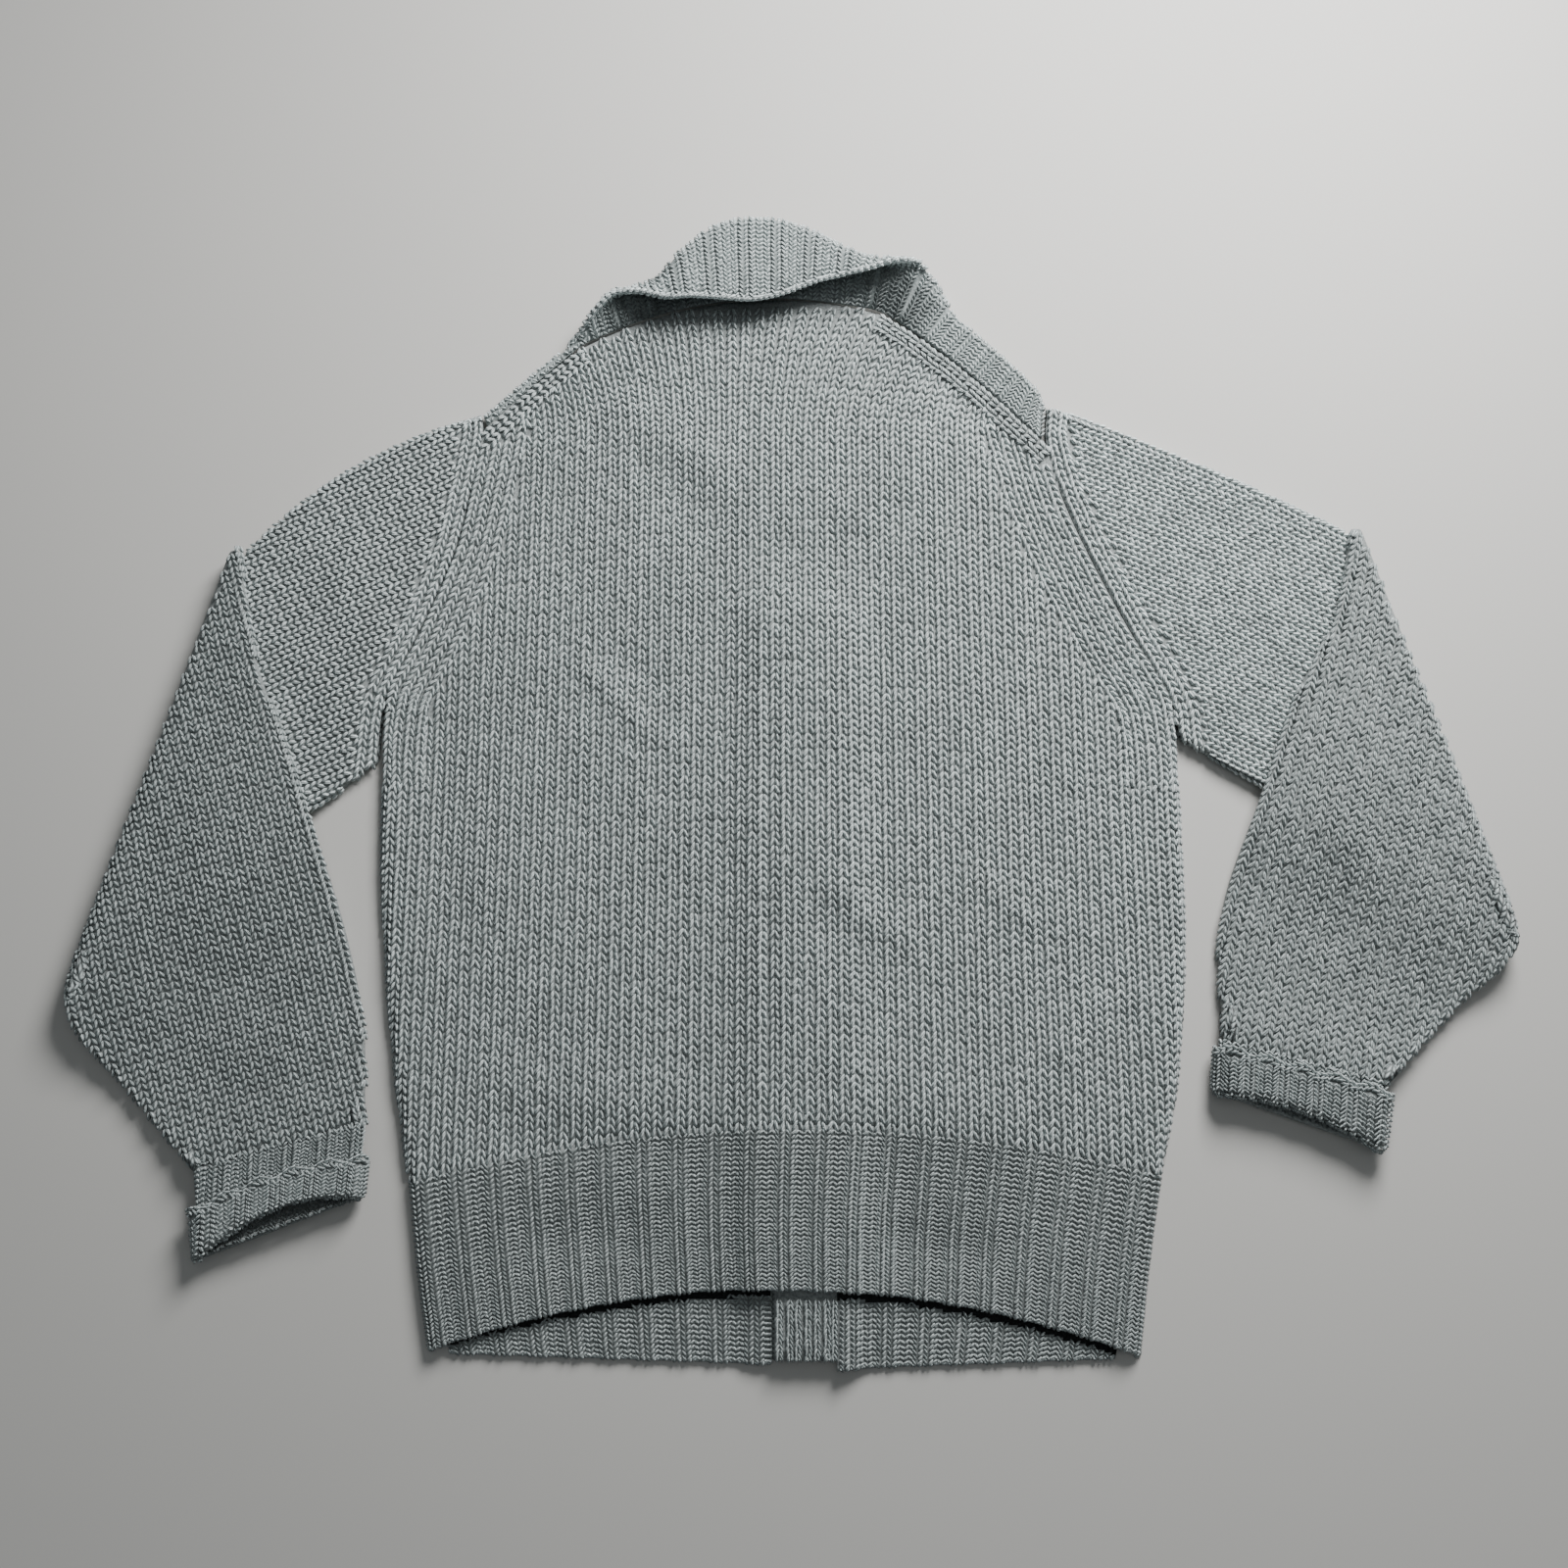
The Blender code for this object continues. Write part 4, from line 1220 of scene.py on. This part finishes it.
def band_stitches():
    """The part of the outermost band that shows below the back hem."""
    made = Stitching()

    def surface(spot):
        return Vector((BAND_RIGHT - BAND_WIDTH + spot.x, BAND_BOTTOM + spot.y, BAND_OVER + CLOTH))

    rolled = rolled_under(surface, CLOTH / 2)
    for x, wale in BAND_COLUMNS:
        for row in range(13):
            spot = Vector((x, -TUCK + (row + 0.5) * RIB_ROW))
            made.stitch(place_of(rolled, spot, (0, 1)), wale, RIB_ROW, 0.3)
    return made.build("button_band_stitches", YARN)


fronts = {column: front(side, column) for side, column in SIDES}
front_hems = {column: front_hem(side, column) for side, column in SIDES}
lapels = {column: lapel(side, column) for side, column in SIDES}
buttonhole_band = band("buttonhole_band", BAND_LEFT, BAND_LEFT + BAND_WIDTH - BAND_SHY, -1)
button_band = band("button_band", BAND_RIGHT - BAND_WIDTH, BAND_RIGHT, 1)
band_wales = band_stitches()


# ---- The sleeves and cuffs ----
RING_COLUMNS, RING_BENDS = 26, 6


def section(width, columns, edge_segments, height):
    """A flattened tube's outline, as (share across, height above the middle) round the ring."""
    radius = height / 2
    flat = [radius / width] + [i / columns for i in range(1, columns)] + [1 - radius / width]
    bend = [math.pi / 2 - math.pi * i / edge_segments for i in range(1, edge_segments)]
    outline = [(share, radius) for share in flat]
    outline += [(1 - radius * (1 - math.cos(t)) / width, radius * math.sin(t)) for t in bend]
    outline += [(share, -radius) for share in reversed(flat)]
    outline += [(radius * (1 - math.cos(t)) / width, -radius * math.sin(t)) for t in bend]
    return outline


def tube(name, rings, materials, sink, thickness, offset=-1.0, pattern=None):
    """An open tube through these rings of points, its upper side sunk under the stitches."""
    bm = bmesh.new()
    loops = []
    for ring in rings:
        verts = [bm.verts.new(p) for p in ring]
        loops.append([bm.edges.new((verts[i - 1], verts[i])) for i in range(len(verts))])
    for one, two in zip(loops, loops[1:]):
        bmesh.ops.bridge_loops(bm, edges=one + two)
    bmesh.ops.recalc_face_normals(bm, faces=bm.faces)
    bm.normal_update()
    for face in bm.faces:
        face.material_index = 0
        if pattern and face.normal.z < -0.4:
            face.material_index = pattern(face.calc_center_median())
    if sink:
        for vert, out in [(v, v.normal.copy()) for v in bm.verts]:
            vert.co -= out * (sink * ease((out.z + 0.7) / 0.6))
    return thicken(sheet_piece(name, bm, materials), thickness, offset, other_face=1)


class Sleeve:
    """One sleeve: flat from the raglan to the crease, round it, and back down to the cuff seam."""

    def __init__(self, shape, side):
        self.shape, self.side = shape, side
        self.crease = [Vector(p) for p in shape["crease"]]
        run = (self.crease[1] - self.crease[0]).normalized()
        outward = Vector((run.y, -run.x))
        self.outward = outward if outward.x * side > 0 else -outward
        self.wrap = TUBE + SEAM
        self.axis = [p - self.outward * self.wrap for p in self.crease]
        self.seam = sleeve_seam(side)
        bulge = Vector((self.seam[0] - self.crease[0]).yx)
        self.bulge_way = Vector((abs(bulge.x) * side, abs(bulge.y))).normalized()
        middle = self.upper_point(0.5, 0.5)
        self.raglan = Edge([self.upper_point(share, 0.0) for share in steps(24)], 0, middle)
        self.axis_edge = Edge(self.axis, 0, middle)
        self.upper_edges = [
            Edge([self.upper_point(share, v) for v in steps(16)], TUBE / 2, middle) for share in (0, 1)
        ]
        lower = shape["lower"]
        centre = along(lower, 0.5, "over").lerp(along(lower, 0.5, "away"), 0.5)
        self.lower_edges = [
            Edge([self.lower_point(v, "over") for v in steps(40)], TUBE / 2, centre),
            Edge([along(lower, v, "away") for v in steps(20)], TUBE / 2, centre),
        ]
        self.crease_edge = Edge(self.crease, self.wrap, centre)
        self.cuff_seam = Edge([along(lower, 1.0, "over"), along(lower, 1.0, "away")], 0, centre)
        self.centre = centre
        self.outline = [self.lower_point(v, "over") for v in steps(20)]
        self.outline += [along(lower, v, "away") for v in reversed(steps(20))]

    def lower_point(self, v, name):
        """A point on an edge of the lower stretch, v of the way down to the cuff."""
        pull = max(1 - v / 0.2, 0.0) * self.wrap
        return along(self.shape["lower"], v, name) - self.outward * pull

    def upper_point(self, share, v):
        """A point of the upper stretch, v of the way from the raglan to the crease's axis."""
        start = on_line(self.seam, share) + Vector((self.side * ANGLED_SEAM, 0.0))
        at = start.lerp(self.axis[0].lerp(self.axis[1], share), v)
        return at + self.bulge_way * self.shape["shoulder_bulge"] * 4 * v * (1 - v) * (1 - share) ** 2

    def upper_height(self, spot):
        fade = ease(self.axis_edge.gap(spot)[0] / 50.0)
        return TUBE + swell(spot.x, spot.y) * fade + crease(spot.x, spot.y)

    def lower_height(self, spot):
        run = self.axis[1] - self.seam[-1]
        beside = (run.x * (spot.y - self.seam[-1].y) - run.y * (spot.x - self.seam[-1].x)) / run.length
        on_top = ease((beside * self.side + DROP_REACH) / (DROP_REACH - 1.0))
        end_lift = CUFF_FOLD * ease(1.0 - self.cuff_seam.gap(spot)[0] / 45.0)
        rise = max((TUBE + 2 * SEAM) * on_top, end_lift)
        return TUBE + rise + crease(spot.x, spot.y)

    def upper_surface(self, spot):
        return lay(spot, self.upper_edges, self.upper_height)

    def lower_surface(self, spot):
        return lay(spot, self.lower_edges + [self.crease_edge], self.lower_height)

    def upper_ring(self, v):
        """The ring v of the way along the upper stretch."""
        width = (self.upper_point(1.0, v) - self.upper_point(0.0, v)).length
        ring = []
        for share, rise in section(width, RING_COLUMNS, RING_BENDS, TUBE):
            at = self.upper_point(share, v)
            lift = self.upper_height(at) - TUBE if rise > 0 else 0.0
            ring.append(Vector((at.x, at.y, TUBE / 2 + rise + lift)))
        return ring

    def crease_ring(self, turn):
        """The ring this far round the crease, from the upper stretch to the lower one."""
        length = (self.axis[1] - self.axis[0]).length
        away = self.outward.to_3d() * math.sin(turn) - Vector((0, 0, math.cos(turn)))
        ring = []
        for share, rise in section(length, RING_COLUMNS, RING_BENDS, TUBE):
            at = self.axis[0].lerp(self.axis[1], share).to_3d()
            at.z = self.wrap
            ring.append(at + away * (TUBE / 2 + SEAM - rise))
        return ring

    def lower_ring(self, v):
        """The ring v of the way down the lower stretch."""
        a, b = self.lower_point(v, "over"), self.lower_point(v, "away")
        ring = []
        for share, rise in section((b - a).length, RING_COLUMNS, RING_BENDS, TUBE):
            at = a.lerp(b, share)
            middle = self.lower_height(at) - TUBE / 2
            if v < 0.15 and rise > 0:
                middle -= crease(at.x, at.y)
            ring.append(Vector((at.x, at.y, max(middle - rise, 0.0))))
        return ring

    def rings(self):
        rings = [self.upper_ring(v) for v in steps(28)]
        rings += [self.crease_ring(math.pi * step / 10) for step in range(1, 10)]
        return rings + [self.lower_ring(v) for v in steps(40)]

    def in_lower(self, spot):
        """Whether the folded-over stretch covers this place."""
        return all(edge.gap(spot)[0] > 6.0 for edge in self.lower_edges + [self.cuff_seam])

    def lattice(self, way, centre, across, reach):
        """Places of stitches in straight columns that run this way, row by row."""
        way = Vector(way).normalized()
        side = Vector((way.y, -way.x))
        for i in range(int(-across / SLEEVE_WALE), int(across / SLEEVE_WALE)):
            for j in range(int(-reach / SLEEVE_ROW), int(reach / SLEEVE_ROW)):
                bend = 1.6 * math.sin(j * 0.09 + i * 0.03)
                yield centre + side * ((i + 0.5) * SLEEVE_WALE + bend) + way * (j + 0.5) * SLEEVE_ROW

    def upper_columns(self, made):
        """Straight columns over the part of the upper stretch that can be seen."""
        way = Vector(self.shape["upper_way"]).normalized()
        beside = 2 * SLEEVE_WALE + self.shape["seam_gap"] - 0.4
        for spot in self.lattice(way, self.upper_point(0.5, 0.5), 210, 190):
            if self.raglan.gap(spot)[0] < beside:
                continue
            if any(edge.gap(spot)[0] < -0.5 * edge.radius for edge in self.upper_edges):
                continue
            if self.axis_edge.gap(spot)[0] < 0 or self.in_lower(spot):
                continue
            place = place_of(self.upper_surface, spot, way)
            made.stitch(place, SLEEVE_WALE, SLEEVE_ROW, lean=SLEEVE_LEAN)

    def seam_columns(self, made):
        """Two columns that run down beside the raglan seam."""
        bottom = self.upper_edges[1]
        for i in range(2):
            reach = 2.0
            while reach < line_length(self.seam) + 16:
                at, ahead = by_length(self.seam, reach), by_length(self.seam, reach + 5)
                reach += ROW
                up = (at - ahead).normalized()
                outward = Vector((up.y, -up.x))
                outward *= math.copysign(1, outward.x * self.side)
                spot = at + outward * ((i + 0.5) * SLEEVE_WALE + self.shape["seam_gap"])
                if bottom.gap(spot)[0] > -0.5 * bottom.radius:
                    made.stitch(place_of(self.upper_surface, spot, up), SLEEVE_WALE, ROW)

    def lower_columns(self, made):
        """Straight columns over the folded-over stretch."""
        way = Vector(self.shape["lower_way"]).normalized()
        lean = SLEEVE_LEAN if self.side < 0 else RIGHT_SLEEVE_LEAN
        for spot in self.lattice(way, self.centre, 190, 260):
            if any(edge.gap(spot)[0] < -0.5 * edge.radius for edge in self.lower_edges):
                continue
            if outside(spot, self.outline) > self.wrap / 2:
                continue
            if self.crease_edge.gap(spot)[0] < -0.5 * self.wrap or self.cuff_seam.gap(spot)[0] < -1.0:
                continue
            made.stitch(place_of(self.lower_surface, spot, way), SLEEVE_WALE, SLEEVE_ROW, lean=lean)

    def stitches(self, name):
        made = Stitching()
        # Painted light: the upper stretch's stitches are drawn paler.
        made.shade = UPPER_SLEEVE_PAINTED_LIGHT
        self.upper_columns(made)
        self.seam_columns(made)
        # Painted shade: the folded-over stretch's stitches are drawn darker.
        made.shade = LOWER_SLEEVE_PAINTED_SHADE
        self.lower_columns(made)
        return made.build(name, YARN)


class Cuff:
    """A ribbed cuff, turned back over itself at the wrist."""

    def __init__(self, shape):
        self.a = along(shape["lower"], 1.0, "over"), Vector(shape["cuff"][0])
        self.b = along(shape["lower"], 1.0, "away"), Vector(shape["cuff"][1])
        self.length = ((self.a[1] - self.a[0]).length + (self.b[1] - self.b[0]).length) / 2
        self.stop = self.length - CUFF_FOLD / 2
        self.turn_back = shape["turn_back"]
        self.first_purl = shape["first_purl"]
        self.up = (self.a[0] - self.a[1]).normalized()
        self.bow = shape["bow"]

    def ends(self, reach, extra):
        """The two ends of the ring at this reach, for a face this far outside the plain tube."""
        t = reach / self.length
        a, b = self.a[0].lerp(self.a[1], t), self.b[0].lerp(self.b[1], t)
        run = (b - a).normalized()
        return a - run * extra, b + run * extra

    def bowed(self, at, share, reach):
        """The upper face's mouth arches up the arm in the middle."""
        share = min(max(share, 0.0), 1.0)
        return at + self.up * (self.bow * 4 * share * (1 - share) * reach / self.length)

    def ring(self, reach, out):
        """The ring at this reach whose cloth lies this far outside the plain tube's."""
        a, b = self.ends(reach, out - CLOTH / 2)
        height = TUBE - CLOTH + 2 * out
        ring = []
        for share, rise in section((b - a).length, 22, 8, height):
            at = a.lerp(b, share)
            at = at.lerp(self.bowed(at, share, reach), ease(0.5 + rise / height))
            ring.append(Vector((at.x, at.y, TUBE / 2 + CUFF_FOLD + rise + CUFF_AIR)))
        return ring

    def rings(self):
        """Down to the fold, round it, and back up over the outside."""
        fold = CUFF_FOLD / 2
        path = [(ANGLED_SEAM + (self.stop - ANGLED_SEAM) * t, 0.0) for t in steps(8)]
        for i in range(1, 8):
            turn = math.pi * i / 8
            path.append((self.stop + fold * math.sin(turn), fold * (1 - math.cos(turn))))
        path += [(self.stop - self.turn_back * t, CUFF_FOLD) for t in steps(5)]
        return [self.ring(reach, out) for reach, out in path]

    def surface(self, x, reach, extra):
        """The upper face, x mm from the inner end round the tube."""
        a, b = self.ends(reach, extra)
        width, radius = (b - a).length, TUBE / 2 + extra
        run = (b - a).normalized()
        down = 0.0
        for end, gap in ((0, x), (1, width - x)):
            if gap < radius:
                turn = min((radius - gap) / radius, 1.6)
                x += (radius * (1 - math.sin(turn)) - gap) * (1 if end == 0 else -1)
                down = radius * (1 - math.cos(turn))
        at = self.bowed(a + run * x, x / width, reach)
        return Vector((at.x, at.y, TUBE / 2 + CUFF_FOLD + radius - down + CUFF_AIR))

    def inside(self, spot):
        """The lower face seen in the mouth, spot.y in from its fold."""
        a, b = self.ends(self.length - spot.y, 0.0)
        at = a + (b - a).normalized() * spot.x
        return Vector((at.x, at.y, CUFF_FOLD + CLOTH + CUFF_AIR))

    def plain(self, spot):
        """The part between the sleeve and the turned-back end: spot.y runs down from the sleeve."""
        return self.surface(spot.x, spot.y, 0.0)

    def turned(self, spot):
        """The turned-back end: spot.y runs from its free edge, over the fold, into the opening."""
        radius = CUFF_FOLD / 2 + CLOTH / 2
        if spot.y < self.turn_back:
            return self.surface(spot.x, self.stop - self.turn_back + spot.y, CUFF_FOLD)
        turn = min((spot.y - self.turn_back) / radius, 3.0)
        out = CUFF_FOLD / 2 + radius * math.cos(turn)
        return self.surface(spot.x, self.stop + radius * math.sin(turn), out - CLOTH / 2)

    def arch(self, x):
        """How high the cast-off edge arches here: over the middle of a sunk stretch, 1."""
        return 0.5 + 0.5 * math.cos(2 * math.pi * (x - self.first_purl[1]) / CUFF_REPEAT)

    def under_arch(self, x, y):
        """Whether a stitch this far from the free edge would lie under one of its arches."""
        return y < 2.4 and self.arch(x) > 0.75

    def stitches(self, name):
        made = Stitching()
        width = (self.a[1] - self.b[1]).length
        wide = width + 2 * CUFF_FOLD + 2 * CUFF_WRAP
        sunk = CUFF_REPEAT - CUFF_PURL / 2
        rib = functools.partial(rib_stitches, made, wale=CUFF_WALE, purl=CUFF_PURL)
        first, high = self.first_purl[0] - sunk, self.stop - self.turn_back + 3
        rib(self.plain, width + 4.0, -1.6, high, start=-2.0, way=-1, offset=first)
        first, high = self.first_purl[1] - sunk, self.turn_back + 11
        rib(self.turned, wide, 0.6, high, start=-CUFF_WRAP, offset=first, skip=self.under_arch)
        # Painted shade: the stitches inside the mouth are drawn darker, over its real shade.
        made.shade = MOUTH_PAINTED_SHADE
        rib(rolled_under(self.inside, CUFF_FOLD / 2 + CLOTH / 2), width, -3.0, 18.0)
        made.shade = 0.0
        self.cast_off(made, wide)
        return made.build(name, YARN)

    def cast_off(self, made, width):
        """The free edge: a chunky chain that arches over each sunk stretch."""
        x = 0.0
        while x <= width:
            middle, across, way, out = place_of(self.turned, Vector((x - CUFF_WRAP, 0.0)), (0, 1))
            slope = (self.arch(x + 0.5) - self.arch(x - 0.5)) * CAST_OFF_ARCH
            run = (across - way * slope).normalized()
            centre = middle + way * (1.4 - CAST_OFF_ARCH * self.arch(x))
            centre += out * (0.9 * self.arch(x) - 0.5)
            made.stitch((centre, run.cross(out), run, out), 5.8, 3.9, 0.4)
            x += 3.7


def sleeve_knit(name, way):
    """Flat knitting for a sleeve's hidden faces, its columns running this way."""
    turn = math.atan2(-way[0], way[1])
    return knit_material("Sleeve knitting near the " + name, SLEEVE_WALE, SLEEVE_ROW, turn)


def sleeve_stretch(middle):
    """Which knitting shows on an underside: that near the shoulder, or that near the wrist."""
    return 1 if middle.z < TUBE / 2 else 2


sleeves, cuffs = {}, {}
for (side, column), shape in zip(SIDES, (LEFT_SLEEVE, RIGHT_SLEEVE)):
    form, wrist = Sleeve(shape, side), Cuff(shape)
    layers = [
        GROUND,
        sleeve_knit("shoulder " + column, shape["upper_way"]),
        sleeve_knit("wrist " + column, shape["lower_way"]),
    ]
    sleeve = tube(
        "sleeve_" + column, form.rings(), layers, RELIEF, CLOTH - RELIEF, pattern=sleeve_stretch
    )
    sleeves[column] = sleeve, form.stitches("sleeve_stitches_" + column)
    cuff = tube("cuff_" + column, wrist.rings(), [GROUND, RIB], 0.0, CUFF_SHEET, offset=0.0)
    cuffs[column] = cuff, wrist.stitches("cuff_stitches_" + column)


# ---- The collar ----
OPENINGS = ((0.30, 0.06), (0.69, 0.05))  # along the neck, beside the fold-over, and their widths


@functools.lru_cache(maxsize=None)
def collar_profile(reach):
    """The collar's middle line at this reach along the neck seam, and its length at each point."""
    at = reach / NECK_LENGTH
    station = {key: along(COLLAR_STATIONS, at, key, smooth=True) for key in COLLAR_STATIONS[0]}
    heading = math.radians(station["heading"])
    way = Vector((math.cos(heading), math.sin(heading)))
    start = by_length(NECK, reach)
    rise, turn = math.radians(station["rise"]), math.radians(station["turn"])
    out = ANGLED_SEAM + CLOTH / 2 * math.sin(abs(rise))
    up = back_height(start) - crease(start.x, start.y) - CLOTH / 2
    resting = (up - CLOTH / 2) / 2  # brings a stretch that turns right under to the floor
    radius = blend(max(station["radius"], 0.0), resting, ease((-station["turn"] - 90) / 90))
    moves = [(station["stand"] / 4, rise)] * 4
    chord = 2 * radius * math.sin(abs(turn) / FOLD_SEGMENTS / 2)
    moves += [(chord, rise + turn * (i + 0.5) / FOLD_SEGMENTS) for i in range(FOLD_SEGMENTS)]
    moves += [(max(station["fall"], 1.0) / 4, rise + turn)] * 4
    points = [(out, up)]
    for length, angle in moves:
        out += length * math.cos(angle)
        up = max(up + length * math.sin(angle), CLOTH / 2)
        points.append((out, up))
    places = [(start + way * reach_out).to_3d() + Vector((0, 0, high)) for reach_out, high in points]
    lengths = [0.0]
    for a, b in zip(places, places[1:]):
        lengths.append(lengths[-1] + (b - a).length)
    return places, lengths


def collar_length(reach):
    """How far the collar's middle line runs out from the neck seam here."""
    return collar_profile(round(reach, 2))[1][-1]


def collar_middle(reach, length):
    """The point this far out along the collar's middle line."""
    places, lengths = collar_profile(round(reach, 2))
    i = 0
    while i < len(places) - 2 and length > lengths[i + 1]:
        i += 1
    step = max(lengths[i + 1] - lengths[i], 1e-6)
    return places[i] + (places[i + 1] - places[i]) * ((length - lengths[i]) / step)


def collar_place(reach, length, face):
    """The place of a stitch on one face of the collar, at this length out from the neck seam."""
    length = min(length, collar_length(reach))
    middle = collar_middle(reach, length)
    up = (collar_middle(reach, length + 1.2) - collar_middle(reach, length - 1.2)).normalized()
    across = collar_middle(reach + 1.5, length) - collar_middle(reach - 1.5, length)
    across = (across * face).normalized()
    out = across.cross(up).normalized()
    return middle + out * (CLOTH / 2), up.cross(out), up, out


def opening_painted_shade(reach):
    """How much painted shade darkens the collar's stitches in the openings beside the fold-over, where
    they lie in shade.
    """
    at = reach / NECK_LENGTH
    return OPENING_PAINTED_SHADE * max(math.exp(-(((at - middle) / wide) ** 4)) for middle, wide in OPENINGS)


def collar_column(made, reach, wale, purl):
    """One column of the rib on both faces of the collar, as far as it can be seen."""
    total = collar_length(reach)
    rows = int(total / RIB_ROW)
    for row in range(rows):
        length = (row + 0.45) * total / rows
        for face in (1, -1):
            place = functools.partial(collar_place, face=face)
            at = place(reach, length)
            if at[3].z < -0.5 and at[0].z < 7:
                continue
            # Painted shade on the stitches in the openings, fading out towards the collar's free edge.
            made.shade = opening_painted_shade(reach) * ease((0.8 - length / total) * 5)
            if purl:
                made.bar(place, reach, length, wale, RIB_ROW, 0.35)
            else:
                made.stitch(at, wale, RIB_ROW, 0.45, RIB_LEAN)
    made.shade = 0.0


def collar_ribs(made, low, high):
    """Pairs of rib columns with a sunk stretch after each, all along the neck."""
    start = low + 1.0
    while start < high:
        for offset, wale, purl in (
            (COLLAR_WALE * 0.45, COLLAR_WALE, False),
            (COLLAR_WALE * 1.55, COLLAR_WALE, False),
            (2 * COLLAR_WALE + COLLAR_PURL / 2, COLLAR_PURL, True),
        ):
            if start + offset <= high:
                collar_column(made, start + offset, wale, purl)
        start += 2 * COLLAR_WALE + COLLAR_PURL


def collar_cast_off(made, low, high):
    """The cast-off edge, a thick soft roll along the free end."""
    reach = low
    while reach < high:
        middle, across, way, out = collar_place(reach, collar_length(reach), 1)
        middle -= out * (CLOTH / 2)
        for turn in (-75, -25, 25, 75):
            turn = math.radians(turn)
            outward = way * math.cos(turn) + out * math.sin(turn)
            run = (across + outward.cross(across) * 0.4).normalized()
            centre = middle + outward * 1.1
            made.leg(centre, run.cross(outward), run, outward, 6.4, 2.6, 2.0, chance.random())
        reach += 3.6


def collar_pieces():
    low, high = (COLLAR_STATIONS[end]["at"] * NECK_LENGTH for end in (0, -1))
    count = len(collar_profile(round(low, 2))[0])

    def point(u, v):
        return collar_profile(round(u, 2))[0][v].copy()

    sheet = spread("collar", span(low, high, 150), range(count), point, [COLLAR_GROUND])
    thicken(sheet, COLLAR_SHEET, offset=0.0)
    made = Stitching()
    collar_ribs(made, low, high)
    collar_cast_off(made, low, high)
    return sheet, made.build("collar_stitches", COLLAR_YARN)


collar, collar_wales = collar_pieces()


# ---- Camera, light and floor ----
def lay_floor():
    bm = bmesh.new()
    bmesh.ops.create_grid(bm, x_segments=1, y_segments=1, size=4.0)
    bmesh.ops.translate(bm, verts=bm.verts, vec=(0, 0, -0.0002))
    mesh = bpy.data.meshes.new("floor")
    bm.to_mesh(mesh)
    bm.free()
    material, _tree, shader = new_material("Plain pale floor", 0.7)
    shader.inputs["Base Color"].default_value = (0.56, 0.55, 0.525, 1.0)
    mesh.materials.append(material)
    floor = bpy.data.objects.new("floor", mesh)
    bpy.context.scene.collection.objects.link(floor)


def set_camera():
    camera = bpy.data.objects.new("camera", bpy.data.cameras.new("camera"))
    camera.data.lens = 36.0
    camera.data.sensor_width = 36.0
    camera.location = (-0.00598, -0.18691, 0.99533)
    camera.rotation_euler = (math.atan2(0.17537, 0.98450), 0.0, 0.0)
    bpy.context.scene.collection.objects.link(camera)
    bpy.context.scene.camera = camera


def lamp(name, place, target, size, watts):
    light = bpy.data.lights.new(name, "AREA")
    light.shape = "DISK"
    light.size = size
    light.energy = watts
    obj = bpy.data.objects.new(name, light)
    obj.location = place
    obj.rotation_euler = (Vector(target) - Vector(place)).to_track_quat("-Z", "Y").to_euler()
    bpy.context.scene.collection.objects.link(obj)


def set_daylight():
    world = bpy.data.worlds.new("studio")
    world.use_nodes = True
    world.node_tree.nodes["Background"].inputs[0].default_value = (0.86, 0.95, 1.0, 1.0)
    world.node_tree.nodes["Background"].inputs[1].default_value = 0.13
    bpy.context.scene.world = world


lay_floor()
set_camera()
lamp("window light", (0.42, 0.84, 0.72), (0.0, 0.05, 0.0), 0.6, 28.0)
lamp("room fill", (0.2, 0.1, 2.2), (0.0, 0.0, 0.0), 1.6, 3.5)
set_daylight()


# ---- The solids that the sheets stand in for are hidden, and the buttons get their horn ----
def declare(sheet, stitches, slot, flat, held, rests_on=(), area=None):
    """One sheet of cloth in place of its solid, with the stitches on it."""
    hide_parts(sheet.name.removesuffix("_sheet"))
    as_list(rests_on)


declare(back, back_wales, "wool_knit", (0.53, 0.59), "laid", ["front_left", "front_right"], 0.268)
declare(back_hem, hem_wales, "wool_rib", (0.49, 0.103), "laid", ["front_hem_left"], 0.048)
for column in ("left", "right"):
    declare(fronts[column], None, "wool_knit", (0.25, 0.49), "laid", [], 0.095)
    declare(*front_hems[column], "wool_rib", (0.21, 0.1), "laid")
    declare(lapels[column], None, "wool_rib", (0.18, 0.19), "laid", [], 0.011)
    declare(*sleeves[column], "wool_knit", (0.58, 0.46), "folded", [], 0.165)
    declare(*cuffs[column], "wool_rib", (0.24, 0.08), "folded")
declare(buttonhole_band, None, "wool_rib", (0.035, 0.427), "laid")
declare(button_band, band_wales, "wool_rib", (0.038, 0.427), "laid")
declare(collar, collar_wales, "wool_rib", (0.52, 0.11), "folded", ["back"], 0.024)
for number in range(1, 6):
    button = bpy.data.objects[f"button_{number}"]
    button.data.materials.clear()
    button.data.materials.append(BUTTON)
